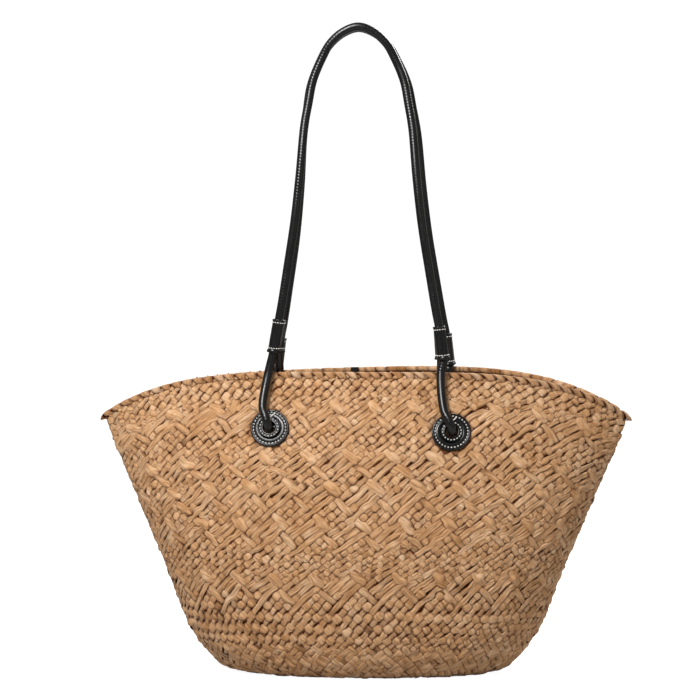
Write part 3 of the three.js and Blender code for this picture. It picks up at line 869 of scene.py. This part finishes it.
def rim_band(table, part, inset, lift):
    """Points of the rim band at shares of the way round, by inset from the wall's face and lift."""
    angle = np.interp(np.mod(part, 1), np.linspace(0, 1, table.shape[1]), table[-1])
    # The back of the rim stands a little higher than its front
    return wall_points(angle, np.ones_like(angle), inset, lift + 1.6 * MM * np.sin(angle))


class WrapRim(bpy.types.Operator):
    """Whip the edge of the wall with slanted turns of straw"""

    bl_idname = "straw_bag.wrap_rim"
    bl_label = "Wrap Rim"

    def execute(self, context):
        sizes, plait = context.scene.bag_sizes, context.scene.bag_plait
        rng = np.random.default_rng(plait.seed + 1)
        table = around_table()
        # The rim's copy of the straw is painted 2 % lighter than the wall's: painted light
        raffia = raffia_material("Wrapped raffia straw", 1.02)
        middle_in = sizes.straw_thickness / 2
        middle_up = sizes.fit_gap + sizes.braid_height / 2
        half_in = middle_in + sizes.braid_proud
        half_up = sizes.braid_height / 2

        samples = 18
        turns = plait.rim_wraps
        turn = np.arange(turns * samples) / samples
        phase = 2 * math.pi * np.mod(turn, 1)
        # From the inner foot over the top to the outer foot, where most of the slant is
        whole, within = np.floor(turn), np.mod(turn, 1)
        slant = np.interp(within, [0, 0.1, 0.45, 0.9, 1], [0, 0.02, 0.22, 0.98, 1.0])
        wobble = 0.07 * np.repeat(rng.normal(size=turns), samples)
        part = (whole + slant + wobble * np.sin(phase / 2) ** 2) / turns
        shrink = 0.6 * MM
        corner = 0.85
        upward = -np.cos(phase)
        ring_in = (half_in - shrink) * np.sign(np.sin(phase)) * np.abs(np.sin(phase)) ** corner
        ring_up = (half_up - shrink) * np.sign(upward) * np.abs(upward) ** corner
        bulge = 1 + 0.07 * np.repeat(rng.normal(size=turns), samples)
        # The outer end of each turn reaches down over the first row of the plait
        ring_up = ring_up - 1.8 * MM * np.clip(np.interp(within, [0.6, 0.85, 1], [0, 1, 0]), 0, 1)
        centre = rim_band(table, part, middle_in + ring_in * bulge, middle_up + ring_up)
        hub, ahead, behind = (
            rim_band(table, part + step, middle_in, middle_up) for step in (0, 0.001, -0.001))
        side = unit(ahead - behind)
        up = centre - hub
        up = unit(up - side * np.sum(up * side, axis=1, keepdims=True))
        # The turns lie flat and close over the top, and save at the tips are drawn narrower outside
        narrow = 3.4 * np.interp(within, [0.5, 0.75, 0.95], [0, 1, 1.6])
        narrow = narrow * (1 - 0.9 * np.exp(-(hub[:, 1] / (22 * MM)) ** 2))
        width = 12.4 - narrow + 0.5 * np.repeat(rng.normal(size=turns), samples)
        # At the two tips of the mouth the turns crowd together
        width = width * MM * (1 - 0.4 * np.exp(-(hub[:, 1] / (5 * MM)) ** 2))
        top = (1.0 + 0.12 * np.repeat(rng.normal(size=turns), samples)) * MM
        outline = [(0.5, -0.6), (1.0, -0.2), (0.8, 0.3), (0.4, 0.6), (-0.4, 0.6), (-0.8, 0.3), (-1.0, -0.2),
                   (-0.5, -0.6)]
        # Painted shade: each turn's colour goes toward the straw shadow colour toward its underside
        ring, painted_shade_parts = [], []
        for shift, height in outline:
            ring.append(centre + side * (shift * width / 2)[:, None] + up * (height * top)[:, None])
            painted_shade_parts.append(np.full(len(turn), 0.1 + 0.9 * eased(height + 0.1)))
        rings = np.stack(ring, axis=1)[None, :, ::-1]
        depth = np.stack(painted_shade_parts, axis=1)[None, :, ::-1]
        tone = np.repeat(0.45 + 0.17 * rng.normal(size=turns), samples)[None, :, None]
        reach = np.array([0, 2.0, 3.2, 5.0, 8.0, 9.8, 11.0, 13.0, 16.0]) * MM
        mesh = skin_mesh("rim_wraps", rings, reach, distance_along(centre)[None], closed=True,
                         tone=tone, depth=depth)
        piece_from("rim_wraps", mesh, raffia, "rim_braid")

        # The bundle that the straw is whipped round, painted in the straw's shadow colour
        core_in, core_up, sides = 2.3 * MM, 2.0 * MM, 10
        spots = np.arange(240) / 240
        rings = []
        for turned in 2 * math.pi * np.arange(sides) / sides:
            rings.append(rim_band(table, spots, middle_in + core_in * np.cos(turned),
                                  middle_up + core_up * np.sin(turned)))
        rings = np.stack(rings, axis=1)[None]
        mesh = skin_mesh("rim_core", rings, np.linspace(0, 15 * MM, sides + 1), spots[None], closed=True)
        piece_from("rim_core", mesh, painted_shadow_straw_material(), "rim_braid")
        return {"FINISHED"}


def sleeve_plan(name):
    """Foot and top of a sleeve, with the line between its two strands at each end."""
    sizes = bpy.context.scene.bag_sizes
    face, side, shift, lift, _, _, _, aside, apart = ANCHORS[name]
    foot_x = side * sizes.sleeve_reach + (SLEEVE_SHIFT + shift) * MM
    depth, rim = (float(value) for value in wall_at(face, foot_x, sizes.wall_height))
    out = face * (depth - sizes.straw_thickness / 2 + 1.5 * MM)
    foot_z = rim + sizes.fit_gap + sizes.braid_height + lift * MM
    foot = np.array([foot_x, out, foot_z])
    top = np.array([foot_x - side * 3.3 * MM, out, foot_z + sizes.sleeve_length])
    foot_spread = np.array([side * aside, face * apart, 0]) * MM
    top_spread = np.array([0, face * (2 * sizes.cord_radius + sizes.fit_gap), 0])
    return foot, top, foot_spread, top_spread


def strand_in_sleeve(plan, share, way):
    """A point of the outer (way 1) or returning (way -1) strand inside the sleeve."""
    foot, top, foot_spread, top_spread = plan
    spread = foot_spread + (top_spread - foot_spread) * share
    return foot + (top - foot) * share + spread * way / 2


def end_route(name):
    """One end of a handle, from where it stops in its sleeve to the sleeve's top."""
    sizes = bpy.context.scene.bag_sizes
    plan = sleeve_plan(name)
    swing, bow = ANCHORS[name][5:7]
    face, x, z = eyelet_place(name)
    middle = -sizes.straw_thickness / 2
    collar_height, neck_end = 3.4 * MM, 0.4 * MM
    outside = 2 * sizes.fit_gap + collar_height + sizes.fit_gap + sizes.cord_radius - middle
    inside = sizes.straw_thickness + neck_end + sizes.fit_gap + sizes.cord_radius + middle
    diameter = 2 * sizes.cord_radius

    def turn_point(row, way):
        up, out = row
        stand_off = outside if way > 0 else inside
        aside = bow * MM * max(0, up) / TURN_ROWS[0][0] if way > 0 else 0
        return draped(face, x, z, -face * aside, up * diameter, middle + way * out * stand_off)

    def beside(strand, way):
        across_x = strand[0] + (swing * MM if way > 0 else 0)
        depth, rim = (float(value) for value in wall_at(face, across_x, sizes.wall_height))
        edge = depth + sizes.braid_proud if way > 0 else depth - sizes.straw_thickness - sizes.braid_proud
        out = face * (edge + way * (sizes.strand_gap + sizes.cord_radius))
        return np.array([across_x, out, rim + sizes.braid_height / 2])

    inner_foot = strand_in_sleeve(plan, 0, -1)
    outer_foot = strand_in_sleeve(plan, 0, 1)
    return [
        strand_in_sleeve(plan, 0.85, -1),
        strand_in_sleeve(plan, 0.4, -1),
        inner_foot,
        beside(inner_foot, -1),
        *(turn_point(row, -1) for row in TURN_ROWS),
        draped(face, x, z, 0, 0, middle),
        *(turn_point(row, 1) for row in reversed(TURN_ROWS)),
        beside(outer_foot, 1),
        outer_foot,
        strand_in_sleeve(plan, 0.5, 1),
        strand_in_sleeve(plan, 1, 1),
    ]


def arch_route(name):
    """The arch of a handle, from a sleeve's top to just before the crown."""
    sizes = bpy.context.scene.bag_sizes
    face = ANCHORS[name][0]
    start = strand_in_sleeve(sleeve_plan(name), 1, 1)
    top = sizes.wall_height + sizes.handle_drop
    first = SLEEVE_SHIFT * MM
    route = []
    for rise, reach, depth in ARCH_ROWS:
        shift = first + (sizes.arch_shift - first) * rise
        out = face * sizes.arch_depth + (start[1] - face * sizes.arch_depth) * depth
        route.append(np.array([shift + (start[0] - first) * reach, out, start[2] + (top - start[2]) * rise]))
    return route


def smooth_route(points, steps):
    """A centripetal curve through points, with the same number of steps between every two."""
    points = np.array(points)
    points = np.concatenate([[2 * points[0] - points[1]], points, [2 * points[-1] - points[-2]]])
    share = np.arange(steps) / steps
    route = []
    for x0, x1, x2, x3 in zip(points, points[1:], points[2:], points[3:]):
        d0, d1, d2 = (math.sqrt(np.linalg.norm(b - a)) for a, b in ((x0, x1), (x1, x2), (x2, x3)))
        t1 = ((x1 - x0) / d0 - (x2 - x0) / (d0 + d1) + (x2 - x1) / d1) * d1
        t2 = ((x2 - x1) / d1 - (x3 - x1) / (d1 + d2) + (x3 - x2) / d2) * d1
        square, cube = 3 * (x2 - x1) - 2 * t1 - t2, 2 * (x1 - x2) + t1 + t2
        for p in share:
            route.append(x1 + t1 * p + square * p ** 2 + cube * p ** 3)
    route.append(points[-2])
    return np.array(route)


def carried_frames(route, start):
    """Headings and side directions along a route, turned as little as they can be."""
    heading = unit(np.gradient(route, axis=0))
    side = [unit(start - heading[0] * np.dot(start, heading[0]))]
    for ahead in heading[1:]:
        side.append(unit(side[-1] - ahead * np.dot(side[-1], ahead)))
    return heading, np.array(side)


class RollHandles(bpy.types.Operator):
    """Roll both handles from black leather, with a seam along each"""

    bl_idname = "straw_bag.roll_handles"
    bl_label = "Roll Handles"

    def execute(self, context):
        sizes = context.scene.bag_sizes
        leather = leather_material("Rolled waxed leather", 0.9 * MM, 0.31, rib=2.4 * MM)
        sides = 24
        turned = 2 * math.pi * np.arange(sides) / sides
        # The rolled skin meets in a shallow seam
        seam_at, seam_width, seam_depth = 1.1, 0.16, 0.09
        seam = np.exp(-((np.mod(turned - seam_at + math.pi, 2 * math.pi) - math.pi) / seam_width) ** 2)
        radius = sizes.cord_radius * (1 - seam_depth * seam)
        reach = np.linspace(0, 2 * math.pi * sizes.cord_radius, sides + 1)
        for face, label in ((-1, "front"), (1, "back")):
            left, right = f"{label}_left", f"{label}_right"
            arch_top = sizes.wall_height + sizes.handle_drop
            crown = np.array([sizes.arch_shift, face * sizes.arch_depth, arch_top])
            points = [*end_route(left), *arch_route(left), crown,
                      *reversed(arch_route(right)), *reversed(end_route(right))]
            route = smooth_route(points, steps=8)
            heading, side = carried_frames(route, np.array([0.0, -1.0, 0.0]))
            up = np.cross(heading, side)
            ring = side[:, None] * (radius * np.cos(turned))[None, :, None]
            ring = ring + up[:, None] * (radius * np.sin(turned))[None, :, None]
            rings = (route[:, None] + ring)[None]
            mesh = skin_mesh(f"handle_cord_{label}", rings, reach, distance_along(route)[None])
            piece_from(f"handle_cord_{label}", mesh, leather, f"handle_{label}")
        return {"FINISHED"}


def stitch_mesh(name, starts, ends, outs, radius):
    """A mesh of short stitches, each an arched capsule that dips into the leather at both ends."""
    share = np.array([0.0, 0.12, 0.35, 0.65, 0.88, 1.0])
    height = np.array([-0.9, 0.1, 0.75, 0.75, 0.1, -0.9]) * radius
    thick = np.array([0.45, 0.9, 1.0, 1.0, 0.9, 0.45]) * radius
    starts, ends, outs = np.array(starts), np.array(ends), unit(np.array(outs))
    centre = starts[:, None] + (ends - starts)[:, None] * share[None, :, None]
    centre = centre + outs[:, None] * height[None, :, None]
    heading = unit(ends - starts)
    side = np.cross(outs, heading)
    turned = (2 * math.pi * np.arange(7) / 7)[None, None, :, None]
    ring = side[:, None, None] * np.cos(turned) + outs[:, None, None] * np.sin(turned)
    rings = centre[:, :, None] + ring * thick[None, :, None, None]
    along = np.broadcast_to(share * 3 * MM, (len(starts), len(share))).copy()
    return skin_mesh(name, rings, np.linspace(0, 2 * math.pi * radius, 8), along)


def sleeve_section(plan, share, radius, waist):
    """Points round a sleeve at a share of its length: two half rounds and the flats between them."""
    foot, top, foot_spread, top_spread = plan
    axis = unit(top - foot)
    spread = foot_spread + (top_spread - foot_spread) * share
    main = unit(spread)
    across = unit(np.cross(axis, main))
    centre = foot + (top - foot) * share
    half = np.linalg.norm(spread) / 2
    points, normals = [], []
    for flip in (1, -1):
        for step in range(17):
            turned = math.pi * (step / 16 - 0.5)
            normal = main * math.cos(turned) * flip + across * math.sin(turned) * flip
            points.append(centre + main * half * flip + normal * radius)
            normals.append(normal)
        for part in (0.25, 0.5, 0.75):
            sunk = radius - waist * math.sin(math.pi * part)
            points.append(centre + main * half * flip * (1 - 2 * part) + across * flip * sunk)
            normals.append(across * flip)
    return np.array(points), np.array(normals)


# Sleeve from its foot to its top: share of its length and swell in millimetres, rolled at both hems
SLEEVE_ROWS = [
    (0.0, -0.1), (0.004, 0.45), (0.02, 0.78), (0.045, 0.86), (0.07, 0.72), (0.09, 0.3), (0.105, 0.02),
    (0.13, 0.0), (0.2, 0.03), (0.32, 0.0), (0.45, 0.05), (0.58, 0.0), (0.7, 0.04), (0.82, 0.0), (0.91, 0.0),
    (0.93, 0.05), (0.945, 0.35), (0.965, 0.62), (0.985, 0.58), (0.997, 0.3), (1.0, -0.1),
]


class SewSleeves(bpy.types.Operator):
    """Sew a leather sleeve with rolled hems round the two strands of each handle end"""

    bl_idname = "straw_bag.sew_sleeves"
    bl_label = "Sew Sleeves"

    def execute(self, context):
        sizes = context.scene.bag_sizes
        leather = leather_material("Waxed sleeve leather", 0.8 * MM, 0.3)
        thread = thread_material()
        # Leather 1.3 mm thick, pulled in between its two strands, with a stitch every 2.6 mm
        inner = sizes.cord_radius + 0.12 * MM
        outer, seat, waist, pitch = inner + 1.3 * MM, inner + 1.35 * MM, 0.5 * MM, 2.6 * MM
        for name in ANCHORS:
            plan = sleeve_plan(name)
            rows = []
            for share, swell in SLEEVE_ROWS:
                rows.append(sleeve_section(plan, share, outer + swell * MM, waist)[0])
            for share in (1.0, 0.75, 0.5, 0.25, 0.0):
                rows.append(sleeve_section(plan, share, inner, 0.0)[0])
            rings = np.array(rows)[None]
            reach = np.linspace(0, 45 * MM, rings.shape[2] + 1)
            along = distance_along(rings[0, :, 0])[None]
            mesh = skin_mesh(f"sleeve_skin_{name}", rings, reach, along, closed=True)
            piece_from(f"sleeve_skin_{name}", mesh, leather, f"sleeve_{name}")

            starts, ends, outs = [], [], []
            for share in (0.135, 0.9):
                ring, normals = sleeve_section(plan, share, seat, waist)
                loop = np.concatenate([ring, ring[:1]])
                reach = distance_along(loop)
                count = int(round(reach[-1] / pitch))
                for stitch in range(count):
                    span = (np.array([0.12, 0.88]) + stitch) * reach[-1] / count
                    for at, spots in zip(span, (starts, ends)):
                        spots.append(np.array([np.interp(at, reach, loop[:, axis]) for axis in range(3)]))
                    nearest = int(np.argmin(np.abs(reach[:-1] - span.mean())))
                    outs.append(normals[nearest])
            mesh = stitch_mesh(f"sleeve_stitches_{name}", starts, ends, outs, radius=0.42 * MM)
            piece_from(f"sleeve_stitches_{name}", mesh, thread, f"sleeve_{name}")
        return {"FINISHED"}


# Eyelet profiles from the hole outwards, as radius and height off the wall in millimetres. The ring
# has a stitched groove near its rolled edge, the collar one round its middle
RING_PROFILE = [
    (7.6, 0.35), (12.0, 0.3), (16.4, 0.3), (18.0, 0.3), (18.45, 0.55), (18.6, 1.0), (18.45, 1.5),
    (18.0, 1.95), (17.4, 2.1), (16.8, 1.98), (16.35, 1.55), (16.0, 1.3), (15.1, 1.3), (14.7, 1.55),
    (14.2, 1.9), (13.2, 2.02), (12.0, 2.02), (11.2, 1.9), (10.7, 1.45), (10.2, 1.4), (7.6, 1.4),
]
COLLAR_PROFILE = [
    (5.6, -3.4), (6.2, -3.5), (7.0, -3.4), (7.0, 2.2), (8.8, 2.2), (9.8, 2.2), (10.05, 2.6), (10.1, 3.1),
    (10.0, 3.6), (9.7, 3.85), (9.45, 3.75), (9.15, 3.4), (8.6, 3.35), (8.2, 3.55), (7.9, 3.9), (7.4, 4.05),
    (6.8, 4.05), (6.1, 3.8), (5.7, 3.3), (5.6, 2.6), (5.6, 0.0),
]


def turned_mesh(name, profile, anchor, steps):
    """A closed profile turned about an eyelet's axis and bent to the wall."""
    face, x, z = eyelet_place(anchor)
    turned = 2 * math.pi * np.arange(steps) / steps
    rows = []
    for radius, out in profile:
        radius, out = radius * MM, out * MM
        rows.append(draped(face, x, z, radius * np.cos(turned), radius * np.sin(turned), np.full(steps, out)))
    rings = np.array(rows).transpose(1, 0, 2)[None]
    along = (turned * 12 * MM)[None]
    outline = np.array(profile + profile[:1]) * MM
    return skin_mesh(name, rings, distance_along(outline), along, closed=True)


def ring_stitches(anchor, radius, out, count, share):
    """Starts, ends and outward directions of a circle of stitches on an eyelet."""
    face, x, z = eyelet_place(anchor)
    _, _, normal = face_frame(face, x, z)
    starts, ends = [], []
    for stitch in range(count):
        middle = 2 * math.pi * (stitch + 0.3) / count
        half = math.pi * share / count
        for angle, spots in ((middle - half, starts), (middle + half, ends)):
            spots.append(draped(face, x, z, radius * math.cos(angle), radius * math.sin(angle), out))
    return starts, ends, [normal] * count


class FitEyelets(bpy.types.Operator):
    """Fit the four stitched leather eyelets, each a flat ring with a raised collar"""

    bl_idname = "straw_bag.fit_eyelets"
    bl_label = "Fit Eyelets"

    def execute(self, context):
        leather = leather_material("Grained eyelet leather", 0.55 * MM, 0.27)
        thread = thread_material()
        for anchor in ANCHORS:
            mesh = turned_mesh(f"eyelet_disc_{anchor}", RING_PROFILE, anchor, steps=96)
            piece_from(f"eyelet_disc_{anchor}", mesh, leather, f"eyelet_ring_{anchor}")
            mesh = turned_mesh(f"eyelet_lip_{anchor}", COLLAR_PROFILE, anchor, steps=72)
            piece_from(f"eyelet_lip_{anchor}", mesh, leather, f"eyelet_collar_{anchor}")
            starts, ends, outs = ring_stitches(anchor, radius=15.55 * MM, out=1.55 * MM, count=31, share=0.5)
            # The thread ends in one long slanted stitch from the collar to the ring's groove
            face, x, z = eyelet_place(anchor)
            starts.append(draped(face, x, z, 0.2 * MM, 9.6 * MM, 2.9 * MM))
            ends.append(draped(face, x, z, 4.6 * MM, 14.4 * MM, 2.1 * MM))
            outs = outs + outs[:1]
            mesh = stitch_mesh(f"ring_stitches_{anchor}", starts, ends, outs, radius=0.62 * MM)
            piece_from(f"ring_stitches_{anchor}", mesh, thread, f"eyelet_ring_{anchor}")
            starts, ends, outs = ring_stitches(anchor, radius=8.75 * MM, out=3.55 * MM, count=18, share=0.52)
            mesh = stitch_mesh(f"collar_stitches_{anchor}", starts, ends, outs, radius=0.55 * MM)
            piece_from(f"collar_stitches_{anchor}", mesh, thread, f"eyelet_collar_{anchor}")
        return {"FINISHED"}


class HangTab(bpy.types.Operator):
    """Hang the small leather closing tab inside the back of the rim"""

    bl_idname = "straw_bag.hang_tab"
    bl_label = "Hang Tab"

    def execute(self, context):
        low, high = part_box("closing_tab")
        # Its folded top stands up a little between the turns of the rim
        high = Vector(high) + Vector((0, 0, 1.8 * MM))
        leather = leather_material("Grained eyelet leather", 0.55 * MM, 0.27)
        bpy.ops.object.select_all(action="DESELECT")
        middle = (Vector(low) + Vector(high)) / 2
        bpy.ops.mesh.primitive_cube_add(size=1, location=(0, 0, 0))
        tab = context.active_object
        tab.name = tab.data.name = "tab_tongue"
        for vertex in tab.data.vertices:
            for axis in range(3):
                vertex.co[axis] = middle[axis] + vertex.co[axis] * (high[axis] - low[axis])
        bpy.ops.object.mode_set(mode="EDIT")
        editable = bmesh.from_edit_mesh(tab.data)
        for edge in editable.edges:
            ends = [vertex.co for vertex in edge.verts]
            across = abs(ends[0].y - ends[1].y) > 1e-6
            edge.select = across and max(point.z for point in ends) < middle.z
        bmesh.update_edit_mesh(tab.data)
        bpy.ops.mesh.bevel(offset=3.9 * MM, segments=8, affect="EDGES")
        bpy.ops.mesh.select_all(action="SELECT")
        bpy.ops.object.mode_set(mode="OBJECT")
        apply_modifier(tab, "BEVEL", "Soft edges", width=0.5 * MM, segments=3, limit_method="ANGLE")
        tab.data.materials.append(leather)
        bpy.ops.object.select_all(action="DESELECT")
        tab.select_set(True)
        bpy.ops.object.shade_smooth_by_angle(angle=math.radians(35))
        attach(tab, "root")
        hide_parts("closing_tab")
        return {"FINISHED"}


class LayStage(bpy.types.Operator):
    """Lay a pale floor and set soft studio lights, the world and the camera"""

    bl_idname = "straw_bag.lay_stage"
    bl_label = "Lay Stage"

    def execute(self, context):
        bpy.ops.object.select_all(action="DESELECT")
        bpy.ops.mesh.primitive_circle_add(vertices=96, radius=9.0, fill_type="NGON", location=(0, 0, 0))
        floor = context.active_object
        floor.name = floor.data.name = "studio_floor"
        material, tree, output = new_material("Matte white board")
        white = context.scene.bag_colours.floor
        # The board glows for the camera alone, so that it looks white and throws little light up
        ray = add_node(tree, "ShaderNodeLightPath")
        glow = add_node(tree, "ShaderNodeMath", {1: 0.95}, {0: (ray, "Is Camera Ray")}, operation="MULTIPLY")
        shader = add_node(tree, "ShaderNodeBsdfPrincipled",
                          {"Base Color": (0.5, 0.5, 0.5, 1), "Roughness": 0.9, "Specular IOR Level": 0.1,
                           "Emission Color": white}, {"Emission Strength": (glow, 0)})
        tree.links.new(shader.outputs[0], output.inputs["Surface"])
        floor.data.materials.append(material)

        world = bpy.data.worlds.new("Studio")
        world.use_nodes = True
        tree = world.node_tree
        tree.nodes.clear()
        # The backdrop is plain white, and the room that the bag reflects is dimmer than it
        seen = add_node(tree, "ShaderNodeBackground", {"Color": (1, 1, 1, 1), "Strength": 1.05})
        room = add_node(tree, "ShaderNodeBackground", {"Color": (1, 0.96, 0.9, 1), "Strength": 0.27})
        ray = add_node(tree, "ShaderNodeLightPath")
        mixed = add_node(tree, "ShaderNodeMixShader", {},
                         {0: (ray, "Is Camera Ray"), 1: (room, 0), 2: (seen, 0)})
        add_node(tree, "ShaderNodeOutputWorld", {}, {"Surface": (mixed, 0)})
        context.scene.world = world

        # Area lights: their sides in metres, power in watts, and place
        for name, size, power, place in (
            ("key", 0.5, 43.0, (-0.55, -1.2, 1.68)),
            ("fill", 1.0, 2.0, (1.9, -1.4, 1.0)),
            ("back", 0.9, 40.0, (0.9, 1.5, 1.6)),
        ):
            light = bpy.data.lights.new(name, "AREA")
            light.size = size
            light.energy = power
            lamp = bpy.data.objects.new(name, light)
            lamp.location = place
            lamp.rotation_euler = (Vector((0, 0, 0.2)) - Vector(place)).to_track_quat("-Z", "Y").to_euler()
            context.scene.collection.objects.link(lamp)

        azimuth, elevation, distance = math.radians(3), math.radians(2), 2.3
        target = Vector((-0.0142, 0, 0.312))
        back = Vector((math.sin(azimuth) * math.cos(elevation), -math.cos(azimuth) * math.cos(elevation),
                       math.sin(elevation)))
        camera = bpy.data.objects.new("camera", bpy.data.cameras.new("camera"))
        camera.data.lens = 121.2
        camera.data.sensor_width = 36
        camera.data.clip_end = 60
        camera.location = target + back * distance
        camera.rotation_euler = (-back).to_track_quat("-Z", "Y").to_euler()
        context.scene.collection.objects.link(camera)
        context.scene.camera = camera
        context.scene.view_settings.view_transform = "Standard"
        return {"FINISHED"}


class StrawBagPanel(bpy.types.Panel):
    """The bag's sizes, plait, colours and steps."""

    bl_idname = "VIEW3D_PT_straw_bag"
    bl_label = "Straw Bag"
    bl_space_type = "VIEW_3D"
    bl_region_type = "UI"
    bl_category = "Straw Bag"

    def draw(self, context):
        for group in (context.scene.bag_sizes, context.scene.bag_plait, context.scene.bag_colours):
            box = self.layout.box()
            for key in type(group).__annotations__:
                box.prop(group, key)
        for step in STEPS:
            self.layout.operator(step.bl_idname)


GROUPS = (BagSizes, PlaitSettings, BagColours)
STEPS = (PlaitWall, WrapRim, RollHandles, SewSleeves, FitEyelets, HangTab, LayStage)


def register():
    """Adds the bag's settings, steps and panel to Blender."""
    for item in (*GROUPS, *STEPS, StrawBagPanel):
        bpy.utils.register_class(item)
    bpy.types.Scene.bag_sizes = PointerProperty(type=BagSizes)
    bpy.types.Scene.bag_plait = PointerProperty(type=PlaitSettings)
    bpy.types.Scene.bag_colours = PointerProperty(type=BagColours)


def unregister():
    """Takes them out again."""
    del bpy.types.Scene.bag_colours
    del bpy.types.Scene.bag_plait
    del bpy.types.Scene.bag_sizes
    for item in reversed((*GROUPS, *STEPS, StrawBagPanel)):
        bpy.utils.unregister_class(item)


def main():
    """Dresses the bag step by step."""
    register()
    bpy.ops.straw_bag.plait_wall()
    bpy.ops.straw_bag.wrap_rim()
    bpy.ops.straw_bag.roll_handles()
    bpy.ops.straw_bag.sew_sleeves()
    bpy.ops.straw_bag.fit_eyelets()
    bpy.ops.straw_bag.hang_tab()
    bpy.ops.straw_bag.lay_stage()
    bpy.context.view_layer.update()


if __name__ == "__main__":
    main()
